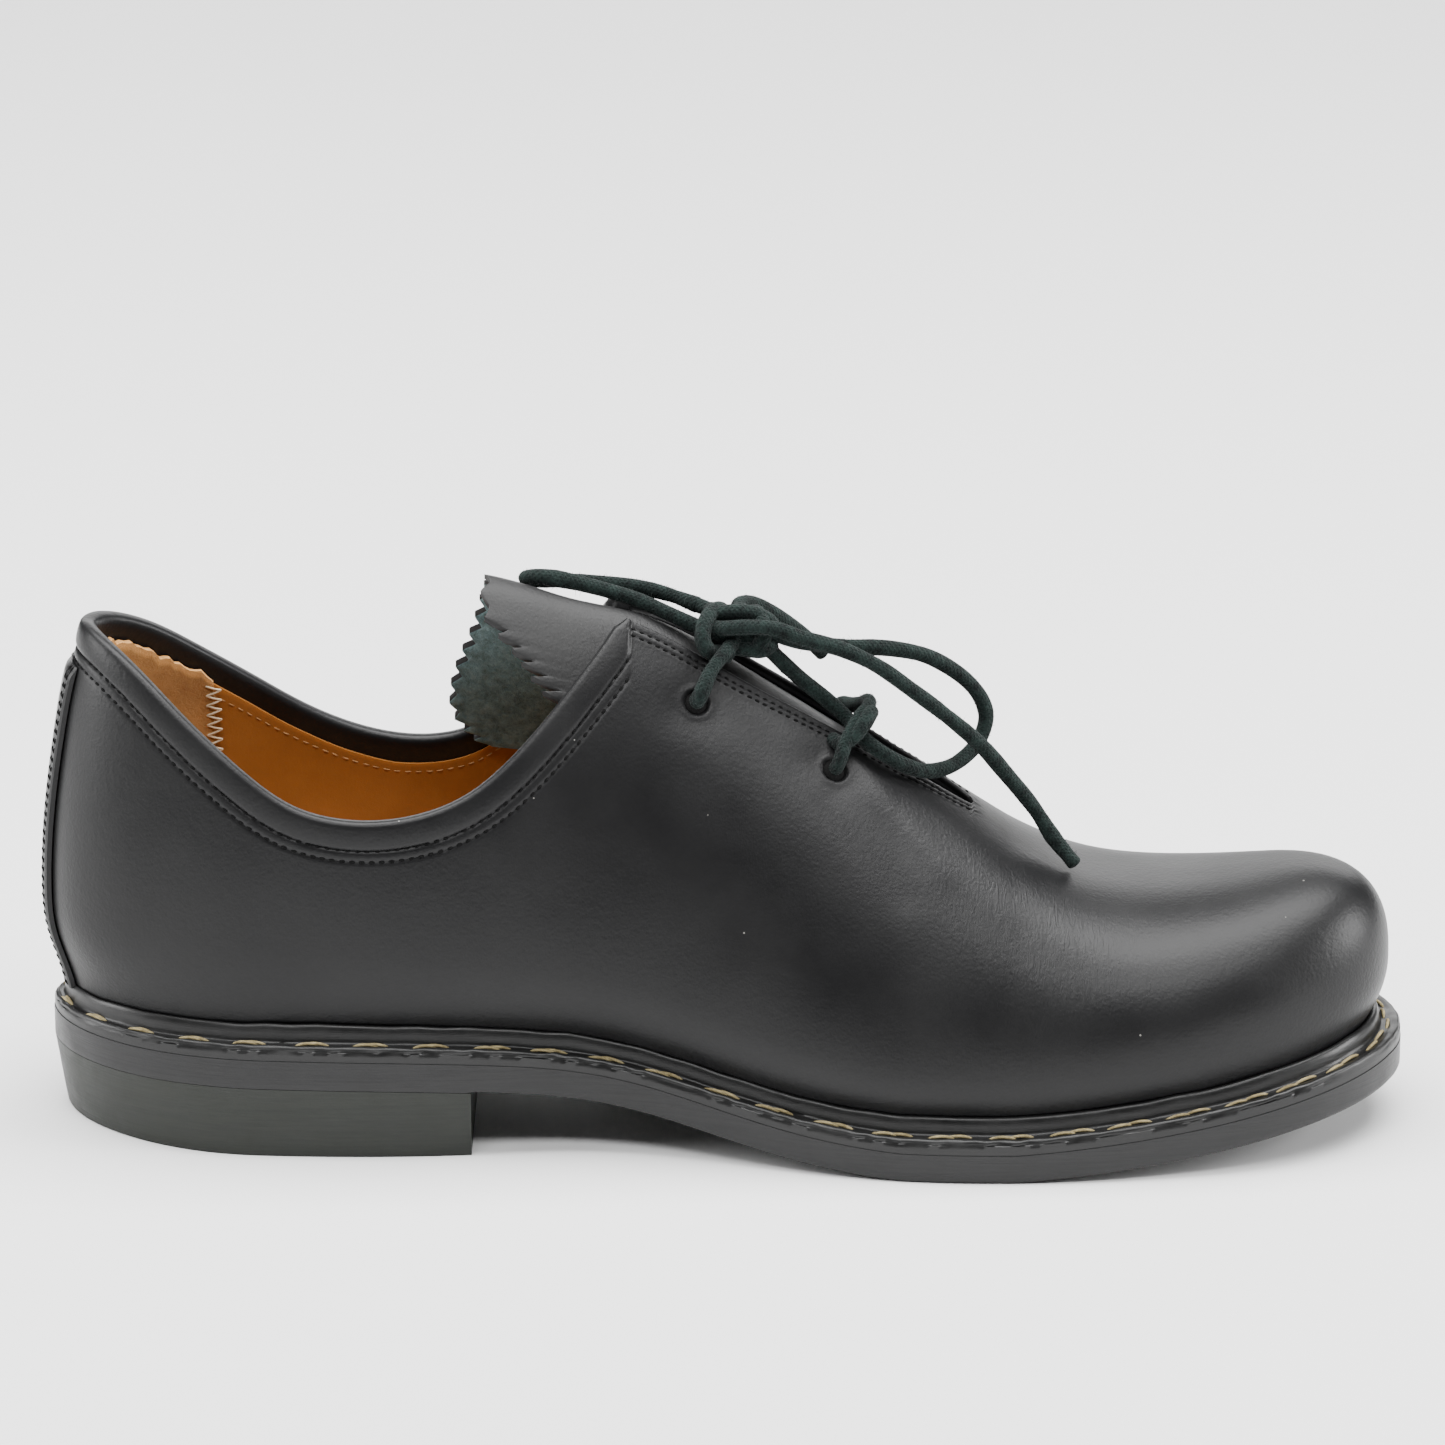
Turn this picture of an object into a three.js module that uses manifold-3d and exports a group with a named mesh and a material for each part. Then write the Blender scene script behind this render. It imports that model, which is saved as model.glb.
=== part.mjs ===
// A low lace-up country shoe, left foot: smooth leather upper cut in one piece, storm welt, stacked heel.
// Millimetres. +X runs from heel to toe, +Z is up, the floor is z = 0,
// and -Y is the inner (medial) side of the foot.
// Every curved piece is measured from one last: a few section tables, turned into a solid form
// that rays are cast against.
import * as THREE from "three";
import { mergeVertices } from "three/addons/utils/BufferGeometryUtils.js";
import Module from "manifold-3d";

const wasm = await Module();
wasm.setup();

// Last, the foot form that the upper is drawn over
const LAST_LENGTH = 298;
const LAST_WIDTH = 100;
const INSTEP_HEIGHT = 103;
const BACK_HEIGHT = 90.4;
const WALL_TUCK = 4;

// Sole and heel
const HEEL_HEIGHT = 16.2;
const SOLE_THICKNESS = 6.6;
const HEEL_BLOCK_TAPER = 2.4;
const WELT_WIDTH = 6.3;
const WELT_EDGE_INSET = 0.2;
const WELT_THICKNESS = 1.9;
const RIB_HEIGHT = 6;
const RIB_WIDTH = 1.5;
const INSOLE_THICKNESS = 3;

// Upper
const UPPER_THICKNESS = 2.4;
const COLLAR_ROLL_WIDTH = 7.5;
const COLLAR_ROLL_PROUD = 0.8;
const THROAT_GAP = 17;
const STRIP_WIDTH = 17;
const STRIP_THICKNESS = 1.1;
const TONGUE_THICKNESS = 2;
const TONGUE_TOOTH_DEPTH = 1.9;
const TONGUE_CLEARANCE = 1.2;
const LACE_DIAMETER = 3.4;
const HOLE_DIAMETER = 5;
const HOLE_OFFSET = 15.5;
const FIT_GAP = 0.3;

// Stations round the last, and rows up it
const HEEL_FAN_STEPS = 9;
const HEEL_TO_THROAT_STEPS = 12;
const THROAT_STEPS = 9;
const VAMP_STEPS = 5;
const TOE_FAN_STEPS = 9;
const WALL_ROWS = 7;
const TONGUE_COLUMNS = 48;
const TONGUE_ROWS = 8;

// Height of the spine that every ray starts from, over the sole's top, as a share of INSTEP_HEIGHT
const SPINE_HEIGHT = 0.2;

// Where along the last (share of its length) each part of the pattern falls
const HEEL_PIVOT = 0.125;
const THROAT_BACK = 0.447;
const THROAT_FRONT = 0.69;
const TOE_PIVOT = 0.85;
const HEEL_BREAST = 0.319;
const LACE_HOLES = [0.4855, 0.587];
const TONGUE_FRONT = 0.715;

// Half-breadths each side of the ridge, before the ends are rounded off, in shares of LAST_WIDTH
const BREADTH_TABLE = [
  { at: 0.0, ridge: 0.0, medial: 0.315, lateral: 0.3 },
  { at: 0.12, ridge: 0.0, medial: 0.32, lateral: 0.31 },
  { at: 0.23, ridge: 0.0, medial: 0.34, lateral: 0.33 },
  { at: 0.33, ridge: -0.005, medial: 0.34, lateral: 0.355 },
  { at: 0.41, ridge: -0.008, medial: 0.327, lateral: 0.388 },
  { at: 0.5, ridge: 0.002, medial: 0.382, lateral: 0.435 },
  { at: 0.58, ridge: -0.01, medial: 0.43, lateral: 0.505 },
  { at: 0.66, ridge: -0.02, medial: 0.45, lateral: 0.54 },
  { at: 0.75, ridge: -0.045, medial: 0.425, lateral: 0.555 },
  { at: 0.86, ridge: -0.05, medial: 0.416, lateral: 0.49 },
  { at: 1.0, ridge: -0.045, medial: 0.395, lateral: 0.4 },
];

// Heights above the sole's top: widest point of the wall and top of the form, in shares of INSTEP_HEIGHT.
// up and out are the exponents of the section above its widest point: 2 and 2 is an ellipse, less is leaner.
const SECTION_TABLE = [
  { at: 0.0, widest: 0.25, top: 1.1, up: 2.0, out: 1.6 },
  { at: 0.2, widest: 0.24, top: 1.1, up: 2.0, out: 1.6 },
  { at: 0.33, widest: 0.22, top: 1.012, up: 1.75, out: 1.6 },
  { at: 0.447, widest: 0.2, top: 0.983, up: 1.55, out: 1.6 },
  { at: 0.52, widest: 0.18, top: 0.905, up: 1.5, out: 1.65 },
  { at: 0.58, widest: 0.165, top: 0.825, up: 1.5, out: 1.7 },
  { at: 0.65, widest: 0.15, top: 0.705, up: 1.6, out: 1.8 },
  { at: 0.71, widest: 0.15, top: 0.58, up: 1.8, out: 2.0 },
  { at: 0.77, widest: 0.155, top: 0.472, up: 2.0, out: 2.2 },
  { at: 0.84, widest: 0.165, top: 0.426, up: 2.1, out: 2.3 },
  { at: 0.92, widest: 0.17, top: 0.42, up: 2.1, out: 2.3 },
  { at: 1.0, widest: 0.18, top: 0.415, up: 2.1, out: 2.3 },
];

// Underside of the sole above the floor, in shares of HEEL_HEIGHT. Below zero it lies flat on the floor.
const SOLE_LINE = [
  { at: 0.0, height: 1.0 },
  { at: 0.15, height: 1.0 },
  { at: 0.25, height: 0.98 },
  { at: 0.319, height: 0.93 },
  { at: 0.39, height: 0.8 },
  { at: 0.45, height: 0.6 },
  { at: 0.5, height: 0.38 },
  { at: 0.54, height: 0.22 },
  { at: 0.58, height: 0.1 },
  { at: 0.63, height: 0.005 },
  { at: 0.67, height: -0.03 },
  { at: 0.71, height: -0.01 },
  { at: 0.77, height: 0.085 },
  { at: 0.86, height: 0.29 },
  { at: 0.93, height: 0.5 },
  { at: 1.0, height: 0.71 },
];

// How far the wall tucks in from its widest point down to the welt, in shares of WALL_TUCK
const TUCK_TABLE = [
  { at: 0.0, medial: 0.9, lateral: 0.9 },
  { at: 0.2, medial: 0.8, lateral: 0.8 },
  { at: 0.38, medial: 1.5, lateral: 1.0 },
  { at: 0.5, medial: 1.3, lateral: 1.0 },
  { at: 0.66, medial: 0.8, lateral: 0.8 },
  { at: 1.0, medial: 1.1, lateral: 1.1 },
];

// The heel curve: how far the back of the form lies forward of its furthest point,
// by height above the sole's top. Both columns are shares of BACK_HEIGHT.
const HEEL_CURVE = [
  { at: 0.0, forward: 0.054 },
  { at: 0.12, forward: 0.043 },
  { at: 0.22, forward: 0.018 },
  { at: 0.36, forward: 0.009 },
  { at: 0.54, forward: 0.022 },
  { at: 0.74, forward: 0.052 },
  { at: 0.9, forward: 0.087 },
  { at: 1.0, forward: 0.122 },
  { at: 1.4, forward: 0.275 },
];

// Top line of the collar above the sole's top, in shares of BACK_HEIGHT
const COLLAR_TABLE = [
  { at: 0.0, medial: 0.985, lateral: 0.985 },
  { at: 0.03, medial: 0.985, lateral: 0.985 },
  { at: 0.05, medial: 0.96, lateral: 0.962 },
  { at: 0.08, medial: 0.895, lateral: 0.905 },
  { at: 0.11, medial: 0.81, lateral: 0.83 },
  { at: 0.15, medial: 0.7, lateral: 0.735 },
  { at: 0.185, medial: 0.62, lateral: 0.66 },
  { at: 0.22, medial: 0.585, lateral: 0.605 },
  { at: 0.255, medial: 0.582, lateral: 0.575 },
  { at: 0.29, medial: 0.605, lateral: 0.575 },
  { at: 0.327, medial: 0.665, lateral: 0.625 },
  { at: 0.363, medial: 0.775, lateral: 0.745 },
  { at: 0.405, medial: 0.945, lateral: 0.93 },
  { at: 0.44, medial: 1.104, lateral: 1.104 },
  { at: 0.48, medial: 1.32, lateral: 1.32 },
];

// Line of the lacing slit, offset from the heel axis, in shares of LAST_WIDTH
const SLIT_TABLE = [
  { at: 0.0, y: 0.0 },
  { at: 0.3, y: 0.0 },
  { at: 0.447, y: 0.01 },
  { at: 0.58, y: -0.01 },
  { at: 0.69, y: -0.01 },
  { at: 0.85, y: -0.03 },
  { at: 1.0, y: -0.045 },
];

// Back end of the tongue, in shares of LAST_LENGTH: across it from the medial edge (-1) to the lateral edge (1)
const TONGUE_TABLE = [
  { at: -1.0, end: 0.43 },
  { at: -0.6, end: 0.405 },
  { at: -0.43, end: 0.382 },
  { at: -0.3, end: 0.352 },
  { at: -0.2, end: 0.331 },
  { at: -0.1, end: 0.327 },
  { at: 0.0, end: 0.329 },
  { at: 0.15, end: 0.326 },
  { at: 0.31, end: 0.319 },
  { at: 0.5, end: 0.307 },
  { at: 0.68, end: 0.299 },
  { at: 0.8, end: 0.3 },
  { at: 0.92, end: 0.31 },
  { at: 1.0, end: 0.32 },
];
// Half the angle that the tongue spans about the spine, in degrees, at its back and front end
const TONGUE_SPREAD_BACK = 40;
const TONGUE_SPREAD_FRONT = 32;

// Welt width round the shoe, in shares of WELT_WIDTH
const WELT_TABLE = [
  { at: 0.0, medial: 0.62, lateral: 0.62 },
  { at: 0.08, medial: 0.8, lateral: 0.8 },
  { at: 0.38, medial: 0.9, lateral: 0.9 },
  { at: 0.66, medial: 1.0, lateral: 1.0 },
  { at: 0.9, medial: 1.05, lateral: 1.05 },
  { at: 1.0, medial: 1.22, lateral: 1.22 },
];

// Natural cubic spline through one column of a table, held level past its ends
function spline(table, column) {
  const n = table.length;
  const x = table.map((row) => row.at);
  const y = table.map((row) => row[column]);
  const bend = new Array(n).fill(0);
  const carry = new Array(n).fill(0);
  for (let i = 1; i < n - 1; i++) {
    const share = (x[i] - x[i - 1]) / (x[i + 1] - x[i - 1]);
    const p = share * bend[i - 1] + 2;
    const slopes = (y[i + 1] - y[i]) / (x[i + 1] - x[i]) - (y[i] - y[i - 1]) / (x[i] - x[i - 1]);
    bend[i] = (share - 1) / p;
    carry[i] = ((6 * slopes) / (x[i + 1] - x[i - 1]) - share * carry[i - 1]) / p;
  }
  for (let i = n - 2; i >= 0; i--) bend[i] = bend[i] * bend[i + 1] + carry[i];
  return (at) => {
    const t = Math.min(Math.max(at, x[0]), x[n - 1]);
    let i = 0;
    while (i < n - 2 && t > x[i + 1]) i++;
    const h = x[i + 1] - x[i];
    const a = (x[i + 1] - t) / h;
    const b = (t - x[i]) / h;
    return a * y[i] + b * y[i + 1] + (((a ** 3 - a) * bend[i] + (b ** 3 - b) * bend[i + 1]) * h * h) / 6;
  };
}

const smooth = (low, high, value) => THREE.MathUtils.smoothstep(value, low, high);
const ridgeShare = spline(BREADTH_TABLE, "ridge");
const breadth = { medial: spline(BREADTH_TABLE, "medial"), lateral: spline(BREADTH_TABLE, "lateral") };
const tuckShare = { medial: spline(TUCK_TABLE, "medial"), lateral: spline(TUCK_TABLE, "lateral") };
const weltShare = { medial: spline(WELT_TABLE, "medial"), lateral: spline(WELT_TABLE, "lateral") };
const collarShare = { medial: spline(COLLAR_TABLE, "medial"), lateral: spline(COLLAR_TABLE, "lateral") };
const widestShare = spline(SECTION_TABLE, "widest");
const topShare = spline(SECTION_TABLE, "top");
const upPower = spline(SECTION_TABLE, "up");
const outPower = spline(SECTION_TABLE, "out");
const heelForward = spline(HEEL_CURVE, "forward");
const slitShare = spline(SLIT_TABLE, "y");
const soleLine = spline(SOLE_LINE, "height");
const tongueEnd = spline(TONGUE_TABLE, "end");

const along = (x) => x / LAST_LENGTH;
const slitY = (x) => slitShare(along(x)) * LAST_WIDTH;

// Height of the sole's underside: heel seat, shank falling to a flat tread, then toe spring
const soleBottom = (x) => Math.max(0, soleLine(along(x)) * HEEL_HEIGHT);
const soleTop = (x) => soleBottom(x) + SOLE_THICKNESS;

// Width of the lacing slit, closing to nothing at the front of the throat
function slitGap(x) {
  const u = along(x);
  if (u >= THROAT_FRONT) return 0;
  return THROAT_GAP * Math.min(1, (THROAT_FRONT - u) / (THROAT_FRONT - THROAT_BACK)) ** 0.25;
}

// Rounding of the plan at the two ends, 1 along the body and 0 at each tip
function endRound(u) {
  const HEEL_ROUND = 0.16;
  const HEEL_POWER = 2.05;
  const TOE_ROUND = 0.28;
  const TOE_POWER = 2.15;
  const rounded = (t, power) => (1 - t ** power) ** (1 / power);
  if (u <= 0 || u >= 1) return 0;
  if (u < HEEL_ROUND) return rounded(1 - u / HEEL_ROUND, HEEL_POWER);
  if (u > 1 - TOE_ROUND) return rounded((u - 1 + TOE_ROUND) / TOE_ROUND, TOE_POWER);
  return 1;
}

// Rounding of the vamp's profile down to the toe's foremost point
function toeDrop(u) {
  const DROP = 0.09;
  const POWER = 2.6;
  if (u < 1 - DROP) return 1;
  return (1 - Math.min(1, (u - 1 + DROP) / DROP) ** POWER) ** (1 / POWER);
}

// Is a point inside the last, taken in by inset on every side?
function insideLast(x, y, z, inset) {
  const height = z - soleTop(x);
  const rough = along(x);
  const widest = widestShare(rough) * INSTEP_HEIGHT;
  const low = Math.min(1, Math.max(0, (widest - height) / (widest - RIB_HEIGHT)));
  const heelShift = heelForward(height / BACK_HEIGHT) * BACK_HEIGHT * (1 - smooth(0, 0.3, rough));
  const toeShift = WALL_TUCK * tuckShare.medial(1) * low ** 2 * smooth(0.8, 0.99, rough);
  const shrink = LAST_LENGTH / (LAST_LENGTH - 2 * inset);
  const u = along(LAST_LENGTH / 2 + (x - heelShift + toeShift - LAST_LENGTH / 2) * shrink);
  const round = endRound(u);
  if (round <= 0) return false;
  const ridge = ridgeShare(u) * LAST_WIDTH;
  const side = y < ridge ? "medial" : "lateral";
  let half = breadth[side](u) * LAST_WIDTH * round;
  if (height > widest) {
    const top = widest + (topShare(u) * INSTEP_HEIGHT - widest) * toeDrop(u) - inset;
    const rise = (height - widest) / (top - widest);
    if (rise >= 1 || top <= widest) return false;
    half = (half - inset) * (1 - rise ** upPower(u)) ** (1 / outPower(u));
  } else {
    half -= inset + WALL_TUCK * tuckShare[side](u) * low ** 2 * (1 - smooth(0.8, 0.99, u));
  }
  return Math.abs(y - ridge) < half;
}

// Stations: half planes that stand on the spine and look outwards, from the heel's back to the toe's tip
function halfStations() {
  const list = [];
  const heelX = HEEL_PIVOT * LAST_LENGTH;
  const toeX = TOE_PIVOT * LAST_LENGTH;
  const throat = [THROAT_BACK * LAST_LENGTH, THROAT_FRONT * LAST_LENGTH];
  for (let i = 0; i < HEEL_FAN_STEPS; i++) {
    list.push({ x: heelX, angle: Math.PI - (Math.PI / 2) * (i / HEEL_FAN_STEPS) });
  }
  const legs = [
    [heelX, throat[0], HEEL_TO_THROAT_STEPS],
    [throat[0], throat[1], THROAT_STEPS],
    [throat[1], toeX, VAMP_STEPS],
  ];
  for (const [from, to, steps] of legs) {
    for (let i = 0; i < steps; i++) list.push({ x: from + ((to - from) * i) / steps, angle: Math.PI / 2 });
  }
  for (let i = 0; i <= TOE_FAN_STEPS; i++) {
    list.push({ x: toeX, angle: (Math.PI / 2) * (1 - i / TOE_FAN_STEPS) });
  }
  return list;
}

const HALF = halfStations();
const LAST_HALF = HALF.length - 1;
const sided = (station, side) => ({ ...station, side, sign: side === "medial" ? -1 : 1 });
const RING = [
  ...HALF.map((station) => sided(station, "medial")),
  ...HALF.slice(1, LAST_HALF).reverse().map((station) => sided(station, "lateral")),
];

// The point where a ray from the spine at this elevation leaves the last
function surfacePoint(station, elevation, inset = 0) {
  const spine = soleTop(station.x) + SPINE_HEIGHT * INSTEP_HEIGHT;
  const origin = new THREE.Vector3(station.x, slitY(station.x), spine);
  const out = Math.cos(elevation);
  const ray = new THREE.Vector3(
    out * Math.cos(station.angle),
    out * Math.sin(station.angle) * station.sign,
    Math.sin(elevation),
  );
  let near = 0;
  let far = LAST_LENGTH;
  for (let i = 0; i < 40; i++) {
    const middle = (near + far) / 2;
    const p = origin.clone().addScaledVector(ray, middle);
    if (insideLast(p.x, p.y, p.z, inset)) near = middle;
    else far = middle;
  }
  return origin.addScaledVector(ray, near);
}

// Smallest elevation between low and high at which a test on the surface point holds
function elevationWhere(station, inset, low, high, test) {
  for (let i = 0; i < 34; i++) {
    const middle = (low + high) / 2;
    if (test(surfacePoint(station, middle, inset))) high = middle;
    else low = middle;
  }
  return high;
}

const rimElevation = (station, inset, lift) =>
  elevationWhere(station, inset, -1.4, 0.6, (p) => p.z > soleTop(p.x) + lift);

function isPastTopLine(p, side) {
  const height = p.z - soleTop(p.x);
  const collar = collarShare[side](along(p.x)) * BACK_HEIGHT;
  const isInThroat = along(p.x) > THROAT_BACK - 1e-6;
  return height > collar || (isInThroat && Math.abs(p.y - slitY(p.x)) < slitGap(p.x) / 2);
}

function topElevation(station, inset) {
  if (along(station.x) >= THROAT_FRONT) return Math.PI / 2;
  return elevationWhere(station, inset, 0, Math.PI / 2, (p) => isPastTopLine(p, station.side));
}

// Triangles are gathered as loose points, then welded
class Facets {
  constructor() {
    this.points = [];
  }
  triangle(a, b, c) {
    const flat = a.distanceTo(b) < 1e-3 || b.distanceTo(c) < 1e-3 || c.distanceTo(a) < 1e-3;
    if (!flat) this.points.push(a, b, c);
  }
  quad(a, b, c, d) {
    this.triangle(a, b, c);
    this.triangle(a, c, d);
  }
  // One closed geometry with its faces turned outwards
  geometry() {
    const volume = (p) => {
      let sum = 0;
      for (let i = 0; i < p.length; i += 3) {
        sum += p[i].dot(new THREE.Vector3().crossVectors(p[i + 1], p[i + 2]));
      }
      return sum;
    };
    const points = volume(this.points) < 0 ? [...this.points].reverse() : this.points;
    const loose = new THREE.BufferGeometry().setFromPoints(points);
    return mergeVertices(loose, 1e-3);
  }
}

// A closed ring of closed profiles, one at each station
function ringSolid(profiles) {
  const facets = new Facets();
  const rings = profiles.length;
  const corners = profiles[0].length;
  for (let i = 0; i < rings; i++) {
    const here = profiles[i];
    const next = profiles[(i + 1) % rings];
    for (let j = 0; j < corners; j++) {
      const k = (j + 1) % corners;
      facets.quad(here[j], next[j], next[k], here[k]);
    }
  }
  return facets.geometry();
}

// A sheet between two grids of points of the same size
function sheetSolid(front, back) {
  const facets = new Facets();
  const rows = front.length - 1;
  const columns = front[0].length - 1;
  for (let i = 0; i < rows; i++) {
    for (let j = 0; j < columns; j++) {
      facets.quad(front[i][j], front[i + 1][j], front[i + 1][j + 1], front[i][j + 1]);
      facets.quad(back[i][j], back[i][j + 1], back[i + 1][j + 1], back[i + 1][j]);
    }
    facets.quad(front[i][0], back[i][0], back[i + 1][0], front[i + 1][0]);
    facets.quad(front[i][columns], front[i + 1][columns], back[i + 1][columns], back[i][columns]);
  }
  for (let j = 0; j < columns; j++) {
    facets.quad(front[0][j], front[0][j + 1], back[0][j + 1], back[0][j]);
    facets.quad(front[rows][j], back[rows][j], back[rows][j + 1], front[rows][j + 1]);
  }
  return facets.geometry();
}

// A plate between two outlines, each given by pairs of points, medial and lateral, from back to front
function plateSolid(highPairs, high, lowPairs, low) {
  const facets = new Facets();
  const lifted = (p, height) => new THREE.Vector3(p.x, p.y, height(p.x));
  const lift = (pairs, height) => pairs.map((pair) => pair.map((p) => lifted(p, height)));
  const top = lift(highPairs, high);
  const base = lift(lowPairs, low);
  const end = top.length - 1;
  for (let i = 0; i < end; i++) {
    const [topMedial, topLateral] = [0, 1].map((j) => [top[i][j], top[i + 1][j]]);
    const [baseMedial, baseLateral] = [0, 1].map((j) => [base[i][j], base[i + 1][j]]);
    facets.quad(topMedial[0], topMedial[1], topLateral[1], topLateral[0]);
    facets.quad(baseMedial[0], baseLateral[0], baseLateral[1], baseMedial[1]);
    facets.quad(baseMedial[0], baseMedial[1], topMedial[1], topMedial[0]);
    facets.quad(baseLateral[0], topLateral[0], topLateral[1], baseLateral[1]);
  }
  facets.quad(base[end][0], base[end][1], top[end][1], top[end][0]);
  facets.quad(base[0][0], top[0][0], top[0][1], base[0][1]);
  return facets.geometry();
}

// The wall's foot at a station, moved outwards in plan
function footprint(station, outward) {
  const foot = surfacePoint(station, rimElevation(station, 0, RIB_HEIGHT));
  foot.x += outward * Math.cos(station.angle);
  foot.y += outward * Math.sin(station.angle) * station.sign;
  return foot;
}
const WELT_HEEL_REACH = 0.12;
const weltWidth = (station) => {
  const isHeel = station.angle > Math.PI / 2;
  const u = isHeel ? WELT_HEEL_REACH * (1 - Math.cos(station.angle + Math.PI)) : along(station.x);
  const toe = station.angle < Math.PI / 2 ? (1 - TOE_PIVOT) * Math.cos(station.angle) : 0;
  return WELT_WIDTH * weltShare[station.side](u + toe);
};
const soleEdge = (station, inset = 0) => footprint(station, weltWidth(station) - inset);

const pairsOf = (stations, outline) =>
  stations.map((station) => ["medial", "lateral"].map((side) => outline(sided(station, side))));

function outsole() {
  const pairs = pairsOf(HALF, soleEdge);
  return plateSolid(pairs, soleTop, pairs, soleBottom);
}

// The heel block stops at a straight breast and narrows towards the floor, most at its back
function heelBlock() {
  const breast = HEEL_BREAST * LAST_LENGTH;
  const stations = [...HALF.filter((station) => station.x < breast), { x: breast, angle: Math.PI / 2 }];
  const SIDE_TAPER = 0.4;
  const taper = (station) => SIDE_TAPER + (1 - SIDE_TAPER) * Math.abs(Math.cos(station.angle));
  const narrowed = (station) => soleEdge(station, HEEL_BLOCK_TAPER * taper(station));
  const top = (x) => soleBottom(x) - FIT_GAP;
  return plateSolid(pairsOf(stations, soleEdge), top, pairsOf(stations, narrowed), () => 0);
}

// Storm welt: a lip, a stitched groove and a raised rib that hugs the upper
function welt() {
  const profile = (station) => {
    const width = weltWidth(station);
    const inner = FIT_GAP;
    const steps = [
      [width - WELT_EDGE_INSET, FIT_GAP],
      [width - WELT_EDGE_INSET, WELT_THICKNESS],
      [inner + 0.55 * (width - inner), WELT_THICKNESS * 0.75],
      [inner + RIB_WIDTH * 1.15, WELT_THICKNESS],
      [inner + RIB_WIDTH * 0.8, RIB_HEIGHT - 0.5],
      [inner + RIB_WIDTH * 0.35, RIB_HEIGHT],
      [inner, RIB_HEIGHT - 0.4],
      [inner, FIT_GAP],
    ];
    return steps.map(([outward, height]) => {
      const p = footprint(station, outward);
      return p.setZ(soleTop(p.x) + height);
    });
  };
  return ringSolid(RING.map(profile));
}

function insole() {
  const inset = UPPER_THICKNESS + FIT_GAP;
  const foot = (station) => surfacePoint(station, rimElevation(station, inset, RIB_HEIGHT), inset);
  const pairs = pairsOf(HALF, foot);
  const low = (x) => soleTop(x) + FIT_GAP;
  return plateSolid(pairs, (x) => low(x) + INSOLE_THICKNESS, pairs, low);
}

// Elevations at these shares of the way along the wall, from one elevation to another
function evenElevations(station, inset, from, to, shares) {
  const SAMPLES = 24;
  const angles = Array.from({ length: SAMPLES + 1 }, (_, i) => from + ((to - from) * i) / SAMPLES);
  const points = angles.map((angle) => surfacePoint(station, angle, inset));
  const run = [0];
  for (let i = 1; i <= SAMPLES; i++) run.push(run[i - 1] + points[i].distanceTo(points[i - 1]));
  return shares.map((share) => {
    const wanted = share * run[SAMPLES];
    let i = 1;
    while (i < SAMPLES && run[i] < wanted) i++;
    const part = (wanted - run[i - 1]) / (run[i] - run[i - 1]);
    return angles[i - 1] + (angles[i] - angles[i - 1]) * part;
  });
}

// Points of the wall at one station, from the welt to the top line, with a raised roll along the collar
function wallRows(station, inset, proud) {
  const foot = surfacePoint(station, rimElevation(station, inset, FIT_GAP), inset);
  const low = rimElevation(station, inset, RIB_HEIGHT);
  const high = topElevation(station, inset);
  const rise = surfacePoint(station, high, inset).distanceTo(surfacePoint(station, low, inset));
  const open = 1 - smooth(THROAT_BACK, THROAT_FRONT, along(station.x));
  const WIDEST_ROLL = 0.35;
  const roll = Math.min(WIDEST_ROLL, COLLAR_ROLL_WIDTH / rise);
  const below = Array.from({ length: WALL_ROWS }, (_, i) => ((1 - roll) * i) / WALL_ROWS);
  const shares = [...below, 1 - roll - 0.01, 1 - roll, 1 - roll / 2, 1];
  const raised = [...below.map(() => 0), 0, open, open, 0.4 * open];
  const angles = evenElevations(station, inset, low, high, shares);
  return [foot, ...angles.map((angle, i) => surfacePoint(station, angle, inset - proud * raised[i]))];
}

// The upper is one shell. Its two sides part along the slit and join again ahead of it.
function upper() {
  const facets = new Facets();
  const outer = RING.map((station) => wallRows(station, 0, COLLAR_ROLL_PROUD));
  const inner = RING.map((station) => wallRows(station, UPPER_THICKNESS, 0));
  const isClosed = (station) => along(station.x) >= THROAT_FRONT - 1e-9;
  const rows = outer[0].length;
  for (let i = 0; i < RING.length; i++) {
    const k = (i + 1) % RING.length;
    for (let j = 0; j < rows - 1; j++) {
      facets.quad(outer[i][j], outer[k][j], outer[k][j + 1], outer[i][j + 1]);
      facets.quad(inner[i][j], inner[i][j + 1], inner[k][j + 1], inner[k][j]);
    }
    facets.quad(inner[i][0], inner[k][0], outer[k][0], outer[i][0]);
    if (isClosed(RING[i]) && isClosed(RING[k])) continue;
    facets.quad(outer[i][rows - 1], outer[k][rows - 1], inner[k][rows - 1], inner[i][rows - 1]);
  }
  return facets.geometry();
}

// Leather strip over the back seam, from the welt up to the collar roll
function backStrip() {
  const halfAngle = STRIP_WIDTH / 2 / (HEEL_PIVOT * LAST_LENGTH);
  const columns = 6;
  const rows = 9;
  const grid = (inset) => {
    const lines = [];
    for (let j = 0; j <= columns; j++) {
      const turn = halfAngle * (1 - (2 * j) / columns);
      const station = {
        x: HEEL_PIVOT * LAST_LENGTH,
        angle: Math.PI - Math.abs(turn),
        side: turn > 0 ? "medial" : "lateral",
        sign: turn > 0 ? -1 : 1,
      };
      const low = rimElevation(station, inset, RIB_HEIGHT + FIT_GAP);
      const top = topElevation(station, inset);
      const line = [];
      const stop = 1 - (COLLAR_ROLL_WIDTH * 1.75) / BACK_HEIGHT;
      for (let i = 0; i <= rows; i++) {
        line.push(surfacePoint(station, low + ((top - low) * stop * i) / rows, inset));
      }
      lines.push(line);
    }
    return lines;
  };
  return sheetSolid(grid(-FIT_GAP), grid(-FIT_GAP - STRIP_THICKNESS));
}

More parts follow.
